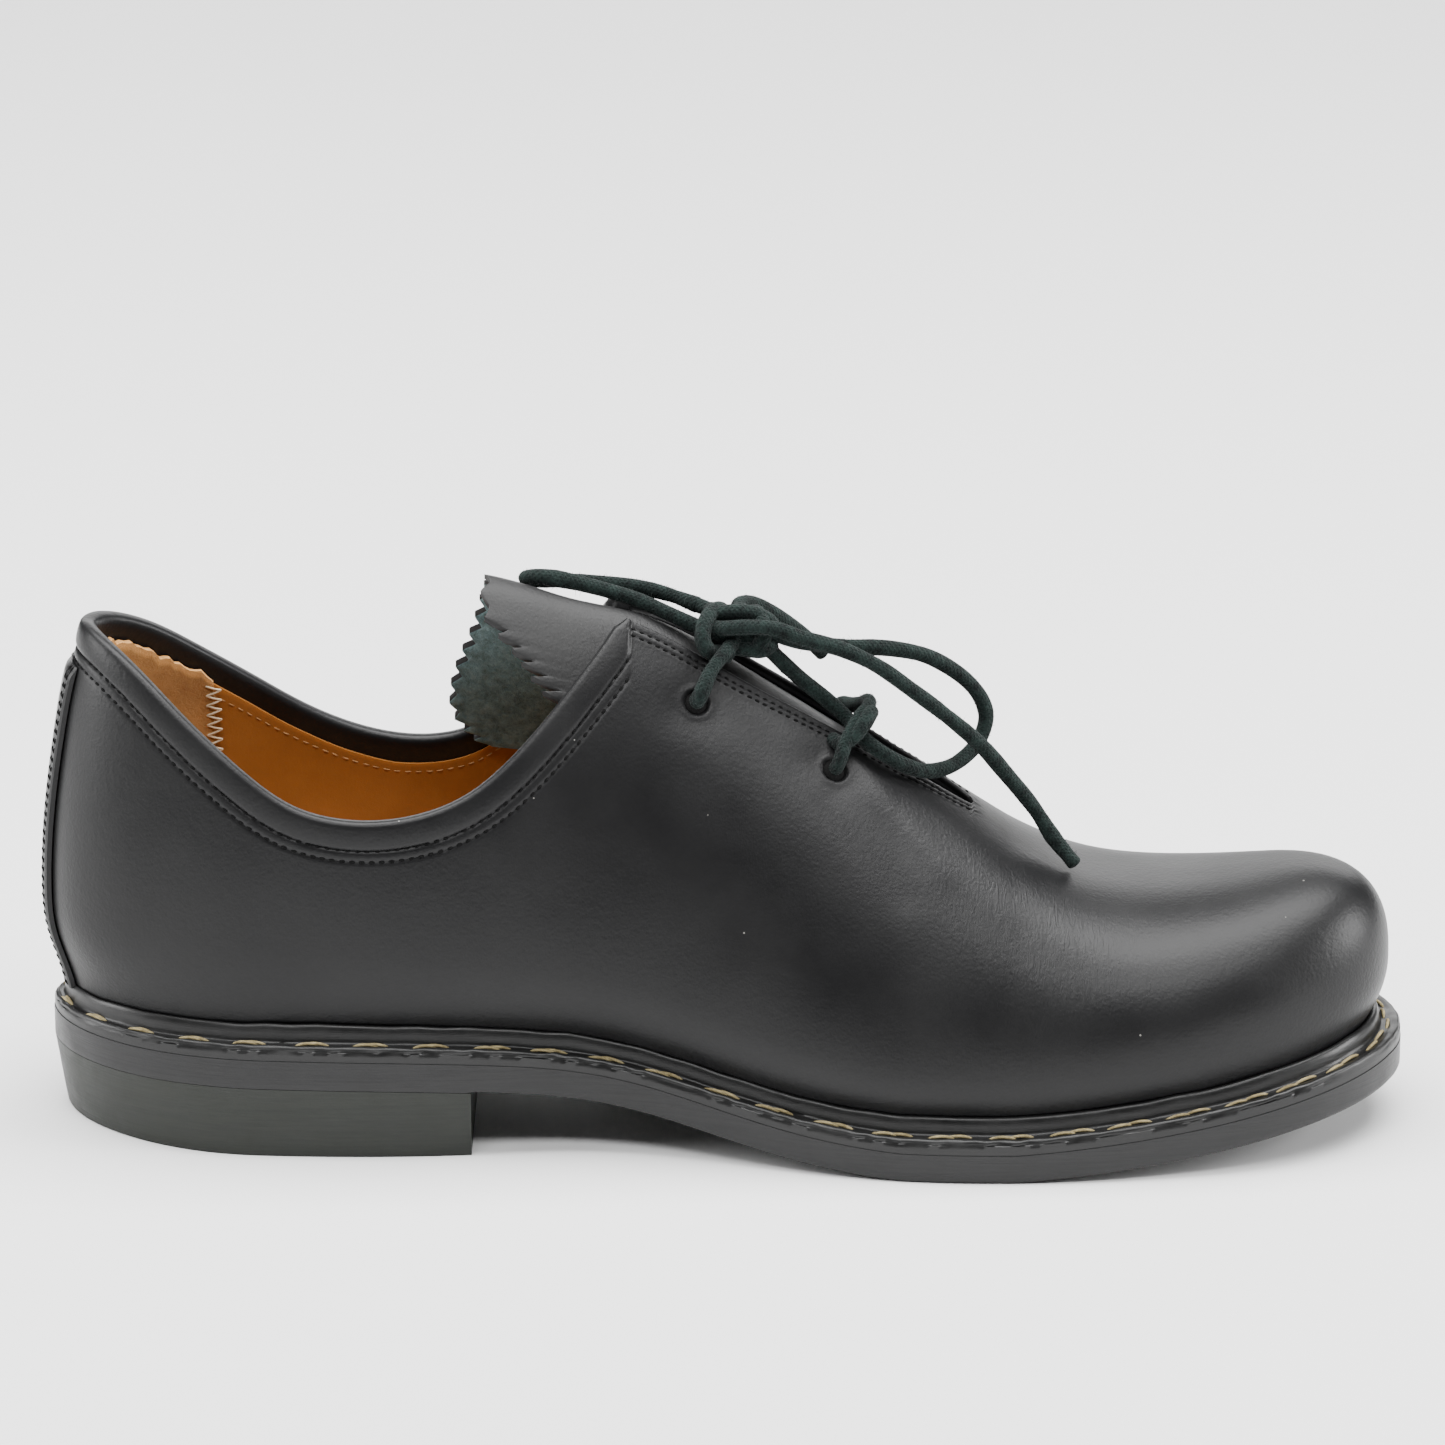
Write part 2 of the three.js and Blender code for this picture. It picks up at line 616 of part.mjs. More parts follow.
// A point over the form beside the slit: its distance from the slit's line, and its height off the leather
function besideSlit(x, offset, lift, inset = 0) {
  const side = offset < 0 ? "medial" : "lateral";
  const station = sided({ x, angle: Math.PI / 2 }, side);
  const at = (angle) => surfacePoint(station, angle, inset);
  const isBeside = (p) => Math.abs(p.y - slitY(p.x)) < Math.abs(offset);
  const angle = elevationWhere(station, inset, 0.2, Math.PI / 2, isBeside);
  const across = at(angle - 0.02).sub(at(angle + 0.02));
  const alongSlit = surfacePoint({ ...station, x: x + 1 }, angle, inset);
  alongSlit.sub(surfacePoint({ ...station, x: x - 1 }, angle, inset));
  const normal = across.cross(alongSlit).multiplyScalar(-station.sign).normalize();
  return at(angle).addScaledVector(normal.z < 0 ? normal.negate() : normal, lift);
}

// A round lace along points chosen by hand
function laceGeometry(points, steps) {
  const path = new THREE.CatmullRomCurve3(points, false, "centripetal");
  const SIDES = 8;
  const ellipse = new THREE.EllipseCurve(0, 0, LACE_DIAMETER / 2, LACE_DIAMETER / 2);
  const circle = new THREE.Shape(ellipse.getPoints(SIDES).slice(0, SIDES));
  const tube = new THREE.ExtrudeGeometry(circle, { steps, extrudePath: path });
  tube.deleteAttribute("normal").deleteAttribute("uv");
  return mergeVertices(tube, 1e-3);
}
const lacePoints = (rows) => rows.map(([x, y, z]) => new THREE.Vector3(x, y, z));

// Lace between a hole and the knot, or from hole to hole: rows of [share along, offset from the slit, lift]
const laceOver = (rows) => rows.map(([share, offset, lift]) => besideSlit(share * LAST_LENGTH, offset, lift));
const NEAR_STRAND = [
  [0.4855, -15.5, -1.8],
  [0.4865, -14.8, 1.4],
  [0.492, -11.2, 2.8],
  [0.5, -7.2, 4],
  [0.507, -3.4, 4.2],
];
const FAR_STRAND = [
  [0.4855, 15.5, -1.8],
  [0.4865, 14.8, 1.8],
  [0.492, 12, 2.7],
  [0.5, 9, 2.6],
  [0.507, 6.5, 3],
];
const LOWER_BAR = [
  [0.587, -15.5, -1.8],
  [0.5875, -14.9, 1.6],
  [0.589, -12, 4],
  [0.593, -8, 6.4],
  [0.599, -3.5, 7],
  [0.601, 1.5, 5.6],
  [0.6, 6, 3.9],
  [0.596, 10, 2.8],
  [0.5895, 13, 2.4],
  [0.5875, 14.8, 1.4],
  [0.587, 15.5, -1.8],
];

// The knot is a short coil over the slit, and the bow's loops and ends start beside it
const KNOT = { x: 153, y: 0.5, z: 111.4, radius: 3.3, length: 11, turns: 1.75, start: 0.9, steps: 28 };
function knotPoints() {
  return Array.from({ length: KNOT.steps + 1 }, (_, i) => {
    const share = i / KNOT.steps;
    const turn = 2 * Math.PI * KNOT.turns * share + KNOT.start;
    const x = KNOT.x + KNOT.length * (share - 0.5);
    return new THREE.Vector3(x, KNOT.y + KNOT.radius * Math.cos(turn), KNOT.z + KNOT.radius * Math.sin(turn));
  });
}
const FRONT_LOOP = [
  [161.7, -3, 110.4],
  [167.2, -4, 108.9],
  [178.1, -3, 107.6],
  [188, -1, 106.3],
  [195.6, 1, 103.8],
  [203.4, 3, 98.2],
  [207.2, 4, 93.2],
  [208.4, 4, 88.8],
  [206.6, 2, 83.7],
  [201.5, -3, 80.4],
  [195.6, -8, 80.4],
  [190.1, -11.6, 83],
  [184.3, -12, 86.6],
  [180.4, -10.4, 89.4],
  [177.2, -7, 92.6],
  [172.9, -5.5, 96.2],
  [167.2, -4.5, 100.7],
  [162.6, -4, 105],
];
const REAR_LOOP = [
  [144.6, 6, 114.2],
  [138.4, 9, 115.6],
  [130.9, 10.5, 117],
  [123.2, 10, 118],
  [115.8, 9.4, 118.7],
  [110.1, 8.6, 119],
  [107, 6, 120.4],
  [109.2, 3.4, 121.6],
  [114.6, 2.6, 121.2],
  [120.1, 2.4, 120],
  [125.5, 2.2, 118.6],
  [132.1, 1.5, 116.6],
  [138.3, 0, 114.2],
  [144, -1, 111.8],
];
const FRONT_END = [
  [161.8, -8, 113.4],
  [164.9, -8.2, 112],
  [171.5, -8.6, 110.2],
  [176.5, -8.8, 108.7],
  [184.1, -9, 105],
  [191.6, -9, 99.5],
  [199.3, -8.5, 93.3],
  [206.8, -7.5, 86.3],
  [212.7, -6.5, 79],
  [218.7, -5.5, 71.1],
  [223.2, -6.5, 64.3],
  [227.7, -9.5, 59.4],
];
const BACK_END = [
  [153, 6.1, 112.4],
  [154, 10, 113.2],
  [157, 15, 111.6],
  [161, 18.5, 108.4],
  [165, 21.5, 104.6],
  [169, 24, 100.6],
  [172.5, 26.5, 96.2],
];

const toManifold = (geometry) => {
  const mesh = new wasm.Mesh({
    numProp: 3,
    vertProperties: new Float32Array(geometry.attributes.position.array),
    triVerts: new Uint32Array(geometry.index.array),
  });
  return wasm.Manifold.ofMesh(mesh);
};
const fromManifold = (solid) => {
  const mesh = solid.getMesh();
  const geometry = new THREE.BufferGeometry();
  geometry.setAttribute("position", new THREE.BufferAttribute(mesh.vertProperties, 3));
  geometry.setIndex(new THREE.BufferAttribute(mesh.triVerts, 1));
  return geometry;
};

// Lace holes, punched straight through the wall beside the slit
function withLaceHoles(geometry) {
  const PUNCH_REACH = 1.7 * UPPER_THICKNESS;
  const SIDES = 12;
  let solid = toManifold(geometry);
  for (const share of LACE_HOLES) {
    for (const offset of [-HOLE_OFFSET, HOLE_OFFSET]) {
      const x = share * LAST_LENGTH;
      const outer = besideSlit(x, offset, PUNCH_REACH);
      const inner = besideSlit(x, offset, -UPPER_THICKNESS - PUNCH_REACH);
      const radius = HOLE_DIAMETER / 2;
      const punch = new THREE.CylinderGeometry(radius, radius, outer.distanceTo(inner), SIDES);
      const up = new THREE.Vector3(0, 1, 0);
      const turn = new THREE.Quaternion().setFromUnitVectors(up, outer.clone().sub(inner).normalize());
      const middle = outer.clone().lerp(inner, 0.5);
      punch.applyQuaternion(turn).translate(middle.x, middle.y, middle.z);
      punch.deleteAttribute("normal").deleteAttribute("uv");
      solid = solid.subtract(toManifold(mergeVertices(punch, 1e-4)));
    }
  }
  return fromManifold(solid);
}

// The tongue follows the inside of the form, from its pinked end above the collar to under the vamp
function tongue() {
  const FRONT_CURVE = 0.14 * LAST_WIDTH;
  const SHARE_POWER = 1.25;
  const spreadAt = (share) =>
    THREE.MathUtils.degToRad(THREE.MathUtils.lerp(TONGUE_SPREAD_BACK, TONGUE_SPREAD_FRONT, share));
  const grid = (inset) => {
    const lines = [];
    for (let j = 0; j <= TONGUE_COLUMNS; j++) {
      const across = (2 * j) / TONGUE_COLUMNS - 1;
      const notch = j % 2 === 0 ? 0 : TONGUE_TOOTH_DEPTH;
      const back = tongueEnd(across) * LAST_LENGTH + notch;
      const front = TONGUE_FRONT * LAST_LENGTH - FRONT_CURVE * across * across;
      const line = [];
      for (let i = 0; i <= TONGUE_ROWS; i++) {
        const share = (i / TONGUE_ROWS) ** SHARE_POWER;
        const x = back + (front - back) * share;
        const station = sided({ x, angle: Math.PI / 2 }, across < 0 ? "medial" : "lateral");
        line.push(surfacePoint(station, Math.PI / 2 - Math.abs(across) * spreadAt(share), inset));
      }
      lines.push(line);
    }
    return lines;
  };
  const outer = UPPER_THICKNESS + TONGUE_CLEARANCE;
  return sheetSolid(grid(outer), grid(outer + TONGUE_THICKNESS));
}

const FREE_LACES = ["lace_knot", "lace_loop_front", "lace_loop_rear", "lace_end_front", "lace_end_back"];

function addPart(group, name, geometry, color, roughness) {
  const material = new THREE.MeshStandardMaterial({ color, roughness, metalness: 0 });
  const mesh = new THREE.Mesh(geometry, material);
  mesh.name = name;
  group.add(mesh);
}

const shoe = new THREE.Group();
addPart(shoe, "outsole", outsole(), 0x1b1b1c, 0.5);
addPart(shoe, "heel_block", heelBlock(), 0x23241f, 0.6);
addPart(shoe, "welt", welt(), 0x161616, 0.4);
addPart(shoe, "insole", insole(), 0xb06a2c, 0.7);
addPart(shoe, "upper", withLaceHoles(upper()), 0x1c1c1d, 0.42);
addPart(shoe, "back_strip", backStrip(), 0x1c1c1d, 0.42);
addPart(shoe, "tongue", tongue(), 0x2a2c2b, 0.55);
addPart(shoe, "lace_strand_near", laceGeometry(laceOver(NEAR_STRAND), 8), 0x1f2a28, 0.95);
addPart(shoe, "lace_strand_far", laceGeometry(laceOver(FAR_STRAND), 8), 0x1f2a28, 0.95);
addPart(shoe, "lace_bar", laceGeometry(laceOver(LOWER_BAR), 18), 0x1f2a28, 0.95);
addPart(shoe, "lace_knot", laceGeometry(knotPoints(), 28), 0x1f2a28, 0.95);
addPart(shoe, "lace_loop_front", laceGeometry(lacePoints(FRONT_LOOP), 30), 0x1f2a28, 0.95);
addPart(shoe, "lace_loop_rear", laceGeometry(lacePoints(REAR_LOOP), 22), 0x1f2a28, 0.95);
addPart(shoe, "lace_end_front", laceGeometry(lacePoints(FRONT_END), 16), 0x1f2a28, 0.95);
addPart(shoe, "lace_end_back", laceGeometry(lacePoints(BACK_END), 10), 0x1f2a28, 0.95);

// The part's origin: the middle of its own box on the floor, measured without the free laces
const solids = shoe.children.filter((mesh) => !FREE_LACES.includes(mesh.name));
const bounds = new THREE.Box3();
for (const mesh of solids) bounds.expandByObject(mesh);
shoe.position.set(-(bounds.min.x + bounds.max.x) / 2, -(bounds.min.y + bounds.max.y) / 2, -bounds.min.z);

const part = new THREE.Group();
part.name = "low_lace_up_shoe";
part.add(shoe);
export default part;
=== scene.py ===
# Looks of a low lace-up country shoe for the left foot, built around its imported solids.
# Sizes are in millimetres on the last, as in the solids' own source: +X from heel to toe, +Z up, the floor
# is z = 0, and -Y is the inner side of the foot. A piece becomes metres in the row frame when its mesh is
# made.
import math
from collections import namedtuple

import bmesh
import bpy
import numpy as np
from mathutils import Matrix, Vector


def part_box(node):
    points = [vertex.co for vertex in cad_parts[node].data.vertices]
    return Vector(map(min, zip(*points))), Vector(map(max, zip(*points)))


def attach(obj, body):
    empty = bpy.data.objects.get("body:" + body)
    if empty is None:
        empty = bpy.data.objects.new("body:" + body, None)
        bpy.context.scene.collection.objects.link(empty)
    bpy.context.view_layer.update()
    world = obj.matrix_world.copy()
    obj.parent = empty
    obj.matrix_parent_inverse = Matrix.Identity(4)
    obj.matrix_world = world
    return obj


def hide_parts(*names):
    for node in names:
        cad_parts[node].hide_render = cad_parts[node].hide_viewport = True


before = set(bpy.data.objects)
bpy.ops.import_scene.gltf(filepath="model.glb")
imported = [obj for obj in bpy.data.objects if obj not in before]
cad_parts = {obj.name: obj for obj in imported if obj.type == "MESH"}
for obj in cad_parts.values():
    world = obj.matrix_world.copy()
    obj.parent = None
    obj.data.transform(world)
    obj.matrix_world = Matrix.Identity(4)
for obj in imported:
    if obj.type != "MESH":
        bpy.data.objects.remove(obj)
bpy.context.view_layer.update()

# Last and sole, the same sizes as the solids
LAST_LENGTH = 298
LAST_WIDTH = 100
INSTEP_HEIGHT = 103
BACK_HEIGHT = 90.4
WALL_TUCK = 4
HEEL_HEIGHT = 16.2
SOLE_THICKNESS = 6.6
HEEL_BLOCK_TAPER = 2.4
WELT_WIDTH = 6.3
RIB_HEIGHT = 6
INSOLE_THICKNESS = 3
UPPER_THICKNESS = 2.4
THROAT_GAP = 17
STRIP_WIDTH = 17
STRIP_THICKNESS = 1.1
TONGUE_THICKNESS = 2
TONGUE_TOOTH_DEPTH = 1.9
TONGUE_TOOTH_PITCH = 2.7
TONGUE_HALF_WIDTH = 26
TONGUE_COLUMNS = 221
TONGUE_CLEARANCE = 1.2
LACE_DIAMETER = 3.4
HOLE_DIAMETER = 5
HOLE_OFFSET = 15.5
FIT_GAP = 0.3
SPINE_SHARE = 0.2

# Where along the last each part of the pattern falls, as a share of its length
HEEL_PIVOT = 0.125
THROAT_BACK = 0.447
THROAT_FRONT = 0.69
TOE_PIVOT = 0.85
HEEL_BREAST = 0.319
LACE_HOLES = (0.4855, 0.587)
TONGUE_FRONT = 0.715

# Details that only the looks have
COLLAR_ROLL_WIDTH = 4.5
COLLAR_ROLL_PROUD = 0.95
COLLAR_ROWS = (4.6, 7.0)
FACING_ROWS = (1.6, 3.0)
COLLAR_STITCH_PITCH = 2.15
INNER_BAND_WIDTH = 4.6
CORNER_REACH = 0.022
GRIP_FRONT = 33
GRIP_THICKNESS = 0.9
GRIP_LAP = 1.2
LINING_THICKNESS = 0.8
LINING_INSET = UPPER_THICKNESS + 0.12
WELT_STITCH_PITCH = 12.9
WELT_STITCH_LENGTH = 6.6
WALL_FOOT = RIB_HEIGHT - 4.5
LINING_FOOT = RIB_HEIGHT - 1
STRIP_COLUMNS = 61
STRIP_ROWS = 110
TONGUE_ROWS = 90
WHIP_COUNT = 22
WHIP_PITCH = 1.25
WHIP_REACH = 1.6
CUT_MARGIN = 1e-9


def natural_spline(at, values):
    """Natural cubic spline through one column of a table, held level past its ends."""
    at, values = np.array(at, float), np.array(values, float)
    steps = np.diff(at)
    slopes = np.diff(values) / steps
    bends = np.zeros(len(at))
    inner = np.diag(2 * (steps[:-1] + steps[1:])) + np.diag(steps[1:-1], 1) + np.diag(steps[1:-1], -1)
    bends[1:-1] = np.linalg.solve(inner, 6 * np.diff(slopes))

    def value(t):
        t = np.clip(t, at[0], at[-1])
        i = np.clip(np.searchsorted(at, t) - 1, 0, len(at) - 2)
        h = steps[i]
        a, b = (at[i + 1] - t) / h, (t - at[i]) / h
        bend = (a**3 - a) * bends[i] + (b**3 - b) * bends[i + 1]
        return a * values[i] + b * values[i + 1] + bend * h * h / 6

    # Rays ask for millions of values, so a fine ladder of them is kept
    ladder = np.linspace(at[0], at[-1], 4001)
    rungs = value(ladder)
    return lambda t: np.interp(t, ladder, rungs)


def splines(names, rows):
    """One spline for each named column after the first, which says where along the shoe a row is."""
    columns = list(zip(*rows))
    return {
        name: natural_spline(columns[0], column) for name, column in zip(names.split()[1:], columns[1:])}


BREADTH = splines("at ridge medial lateral", [
    (0.0, 0.0, 0.315, 0.3),
    (0.12, 0.0, 0.32, 0.31),
    (0.23, 0.0, 0.34, 0.33),
    (0.33, -0.005, 0.34, 0.355),
    (0.41, -0.008, 0.327, 0.388),
    (0.5, 0.002, 0.382, 0.435),
    (0.58, -0.01, 0.43, 0.505),
    (0.66, -0.02, 0.45, 0.54),
    (0.75, -0.045, 0.425, 0.555),
    (0.86, -0.05, 0.416, 0.49),
    (1.0, -0.045, 0.395, 0.4),
])
SECTION = splines("at widest top up out", [
    (0.0, 0.25, 1.1, 2.0, 1.6),
    (0.2, 0.24, 1.1, 2.0, 1.6),
    (0.33, 0.22, 1.012, 1.75, 1.6),
    (0.447, 0.2, 0.983, 1.55, 1.6),
    (0.52, 0.18, 0.905, 1.5, 1.65),
    (0.58, 0.165, 0.825, 1.5, 1.7),
    (0.65, 0.15, 0.705, 1.6, 1.8),
    (0.71, 0.15, 0.58, 1.8, 2.0),
    (0.77, 0.155, 0.472, 2.0, 2.2),
    (0.84, 0.165, 0.426, 2.1, 2.3),
    (0.92, 0.17, 0.42, 2.1, 2.3),
    (1.0, 0.18, 0.415, 2.1, 2.3),
])
SOLE_LINE = splines("at height", [
    (0.0, 1.0),
    (0.15, 1.0),
    (0.25, 0.98),
    (0.319, 0.93),
    (0.39, 0.8),
    (0.45, 0.6),
    (0.5, 0.38),
    (0.54, 0.22),
    (0.58, 0.1),
    (0.63, 0.005),
    (0.67, -0.03),
    (0.71, -0.01),
    (0.77, 0.085),
    (0.86, 0.29),
    (0.93, 0.5),
    (1.0, 0.71),
])["height"]
TUCK = splines("at medial lateral", [
    (0.0, 0.9, 0.9),
    (0.2, 0.8, 0.8),
    (0.38, 1.5, 1.0),
    (0.5, 1.3, 1.0),
    (0.66, 0.8, 0.8),
    (1.0, 1.1, 1.1),
])
HEEL_CURVE = splines("at forward", [
    (0.0, 0.054),
    (0.12, 0.043),
    (0.22, 0.018),
    (0.36, 0.009),
    (0.54, 0.022),
    (0.74, 0.052),
    (0.9, 0.087),
    (1.0, 0.122),
    (1.4, 0.275),
])["forward"]
COLLAR = splines("at medial lateral", [
    (0.0, 0.985, 0.985),
    (0.03, 0.985, 0.985),
    (0.05, 0.96, 0.962),
    (0.08, 0.895, 0.905),
    (0.11, 0.81, 0.83),
    (0.15, 0.7, 0.735),
    (0.185, 0.62, 0.66),
    (0.22, 0.585, 0.605),
    (0.255, 0.582, 0.575),
    (0.29, 0.605, 0.575),
    (0.327, 0.665, 0.625),
    (0.363, 0.775, 0.745),
    (0.405, 0.945, 0.93),
    (0.44, 1.104, 1.104),
    (0.48, 1.32, 1.32),
])
SLIT = splines("at y", [
    (0.0, 0.0),
    (0.3, 0.0),
    (0.447, 0.01),
    (0.58, -0.01),
    (0.69, -0.01),
    (0.85, -0.03),
    (1.0, -0.045),
])["y"]
TONGUE_END = splines("at end", [
    (-1.0, 0.43),
    (-0.6, 0.405),
    (-0.43, 0.382),
    (-0.3, 0.352),
    (-0.2, 0.331),
    (-0.1, 0.327),
    (0.0, 0.329),
    (0.15, 0.326),
    (0.31, 0.319),
    (0.5, 0.307),
    (0.68, 0.299),
    (0.8, 0.3),
    (0.92, 0.31),
    (1.0, 0.32),
])["end"]
# How far the tongue lies over or under the last's own line
TONGUE_LIFT = splines("at lift", [
    (0.29, 1.2),
    (0.33, 1.3),
    (0.36, 0.4),
    (0.39, -1.1),
    (0.43, -1.0),
    (0.48, 0.1),
    (0.56, 0.8),
    (0.65, 0.9),
])["lift"]
WELT_SPREAD = splines("at share", [
    (0.0, 0.62),
    (0.08, 0.8),
    (0.38, 0.9),
    (0.66, 1.0),
    (0.9, 1.05),
    (1.0, 1.22),
])["share"]
TONGUE_SPREAD_BACK = math.radians(40)
TONGUE_SPREAD_FRONT = math.radians(32)


def smooth(low, high, value):
    t = np.clip((value - low) / (high - low), 0, 1)
    return t * t * (3 - 2 * t)


def along(x):
    return x / LAST_LENGTH


def slit_y(x):
    return SLIT(along(x)) * LAST_WIDTH


def sole_bottom(x):
    return np.maximum(0, SOLE_LINE(along(x)) * HEEL_HEIGHT)


def sole_top(x):
    return sole_bottom(x) + SOLE_THICKNESS


def slit_gap(x):
    """Width of the lacing slit, closing to nothing at the front of the throat."""
    rest = np.clip((THROAT_FRONT - along(x)) / (THROAT_FRONT - THROAT_BACK), 0, 1)
    return THROAT_GAP * rest**0.25


def end_round(u):
    """Rounding of the plan at the two ends, 1 along the body and 0 at each tip."""
    heel_round, heel_power, toe_round, toe_power = 0.16, 2.05, 0.28, 2.15
    heel = np.clip(1 - u / heel_round, 0, 1)
    toe = np.clip((u - 1 + toe_round) / toe_round, 0, 1)
    rounded = (1 - heel**heel_power) ** (1 / heel_power) * (1 - toe**toe_power) ** (1 / toe_power)
    return np.where((u <= 0) | (u >= 1), 0, rounded)


def toe_drop(u):
    """Rounding of the vamp's profile down to the toe's foremost point."""
    drop, power = 0.09, 2.6
    return (1 - np.clip((u - 1 + drop) / drop, 0, 1) ** power) ** (1 / power)


def inside_last(p, inset):
    """Which points lie inside the last, taken in by inset on every side."""
    x, y, z = p[..., 0], p[..., 1], p[..., 2]
    height = z - sole_top(x)
    rough = along(x)
    widest = SECTION["widest"](rough) * INSTEP_HEIGHT
    low = np.clip((widest - height) / (widest - RIB_HEIGHT), 0, 1)
    heel_shift = HEEL_CURVE(height / BACK_HEIGHT) * BACK_HEIGHT * (1 - smooth(0, 0.3, rough))
    toe_shift = WALL_TUCK * TUCK["medial"](1) * low**2 * smooth(0.8, 0.99, rough)
    shrink = LAST_LENGTH / (LAST_LENGTH - 2 * inset)
    u = along(LAST_LENGTH / 2 + (x - heel_shift + toe_shift - LAST_LENGTH / 2) * shrink)
    rounded = end_round(u)
    ridge = BREADTH["ridge"](u) * LAST_WIDTH
    is_medial = y < ridge
    half = np.where(is_medial, BREADTH["medial"](u), BREADTH["lateral"](u)) * LAST_WIDTH * rounded
    top = widest + (SECTION["top"](u) * INSTEP_HEIGHT - widest) * toe_drop(u) - inset
    rise = np.clip((height - widest) / np.maximum(top - widest, 1e-6), 0, 1)
    above = (half - inset) * (1 - rise ** SECTION["up"](u)) ** (1 / SECTION["out"](u))
    tuck = np.where(is_medial, TUCK["medial"](u), TUCK["lateral"](u))
    below = half - inset - WALL_TUCK * tuck * low**2 * (1 - smooth(0.8, 0.99, u))
    is_high = height > widest
    half = np.where(is_high, above, below)
    is_out = (rounded <= 0) | (is_high & ((rise >= 1) | (top <= widest)))
    return ~is_out & (np.abs(y - ridge) < half)


# Half planes that stand on the spine and look outwards: sign is -1 on the inner side, 1 on the outer side
Stations = namedtuple("Stations", "x angle sign")


def surface(stations, elevation, inset=0.0):
    """The points where rays from the spine, at these elevations, leave the last."""
    x, angle, sign, elevation, inset = np.broadcast_arrays(*stations, elevation, inset)
    start = spine(x)
    out = np.cos(elevation)
    ray = np.stack([out * np.cos(angle), out * np.sin(angle) * sign, np.sin(elevation)], -1)
    near, far = np.zeros(x.shape), np.full(x.shape, float(LAST_LENGTH))
    for _ in range(25):
        middle = (near + far) / 2
        is_inside = inside_last(start + ray * middle[..., None], inset)
        near = np.where(is_inside, middle, near)
        far = np.where(is_inside, far, middle)
    return start + ray * near[..., None]


def spine(x):
    """Points inside the last, from which the rays start."""
    return np.stack([x, slit_y(x), sole_top(x) + SPINE_SHARE * INSTEP_HEIGHT], -1)


def elevation_where(stations, inset, low, high, test):
    """Smallest elevation between low and high at which a test on the surface point holds."""
    low, high = (np.full(stations.x.shape, float(v)) for v in (low, high))
    for _ in range(24):
        middle = (low + high) / 2
        is_past = test(surface(stations, middle, inset))
        high = np.where(is_past, middle, high)
        low = np.where(is_past, low, middle)
    return high


def rim_elevation(stations, inset, lift):
    return elevation_where(stations, inset, -1.4, 0.6, lambda p: p[..., 2] > sole_top(p[..., 0]) + lift)


def top_elevation(stations, inset):
    """Where the wall ends: at the collar, at the slit, or at the ridge ahead of the slit."""
    def is_past(p):
        x, y = p[..., 0], p[..., 1]
        share = np.where(stations.sign < 0, COLLAR["medial"](along(x)), COLLAR["lateral"](along(x)))
        is_in_slit = (along(x) > THROAT_BACK - CORNER_REACH) & (np.abs(y - slit_y(x)) < slit_gap(x) / 2)
        return (p[..., 2] - sole_top(x) > share * BACK_HEIGHT) | is_in_slit

    found = elevation_where(stations, inset, 0, math.pi / 2, is_past)
    return np.where(along(stations.x) >= THROAT_FRONT - CUT_MARGIN, math.pi / 2, found)


def wavy(count, step, spread, chance):
    """Gently wandering values, one for each of count places."""
    knots = np.arange(0, count + step, step)
    return np.interp(np.arange(count), knots, chance.normal(0, spread, len(knots)))


def half_ring(spacing, fine_spots=()):
    """Stations on one side, closer together round each fine spot (share along, reach, share of spacing)."""
    legs = [HEEL_PIVOT, THROAT_BACK, THROAT_FRONT, TOE_PIVOT]
    xs = []
    for start, stop in zip(legs, legs[1:]):
        x = np.linspace(start, stop, 4000) * LAST_LENGTH
        gap = np.full(x.shape, float(spacing))
        for spot, reach, share in fine_spots:
            gap = np.minimum(
                gap, spacing * (1 - (1 - share) * np.exp(-(((x - spot * LAST_LENGTH) / reach) ** 4))))
        run = np.concatenate([[0], np.cumsum(np.diff(x) / gap[1:])])
        steps = max(2, round(run[-1]))
        xs.append(np.interp(np.linspace(0, run[-1], steps + 1)[:-1], run, x))
    body = np.concatenate(xs)
    heel_steps, toe_steps = (round(r / spacing) for r in (55, 66))
    heel = math.pi - math.pi / 2 * np.arange(heel_steps) / heel_steps
    toe = math.pi / 2 * (1 - np.arange(toe_steps + 1) / toe_steps)
    x = np.concatenate(
        [np.full(heel_steps, legs[0] * LAST_LENGTH), body, np.full(toe_steps + 1, legs[-1] * LAST_LENGTH)])
    return x, np.concatenate([heel, np.full(len(body), math.pi / 2), toe])


def full_ring(spacing, fine_spots=()):
    """Both sides: heel to toe along the inner side, and back along the outer side."""
    x, angle = half_ring(spacing, fine_spots)
    back = slice(len(x) - 2, 0, -1)
    sign = np.concatenate([np.full(len(x), -1.0), np.full(len(x) - 2, 1.0)])
    return Stations(np.concatenate([x, x[back]]), np.concatenate([angle, angle[back]]), sign)


def column(stations):
    """The same stations, ready to be set against a row of elevations."""
    return Stations(*(v[:, None] for v in stations))


def one_station(x, sign):
    return Stations(np.array([float(x)]), np.array([math.pi / 2]), np.array([float(sign)]))


def footprint(stations, outward):
    """The wall's foot, moved outwards in plan."""
    foot = surface(stations, rim_elevation(stations, 0.0, RIB_HEIGHT))
    foot[..., 0] += outward * np.cos(stations.angle)
    foot[..., 1] += outward * np.sin(stations.angle) * stations.sign
    return foot


def welt_width(stations):
    heel = HEEL_PIVOT * 0.96 * (1 - np.cos(stations.angle + math.pi))
    toe = (1 - TOE_PIVOT) * np.cos(stations.angle)
    u = np.where(stations.angle > math.pi / 2 + CUT_MARGIN, heel, along(stations.x) + np.maximum(toe, 0))
    return WELT_WIDTH * WELT_SPREAD(u)


def sole_edge(stations, inset=0.0):
    return footprint(stations, welt_width(stations) - inset)


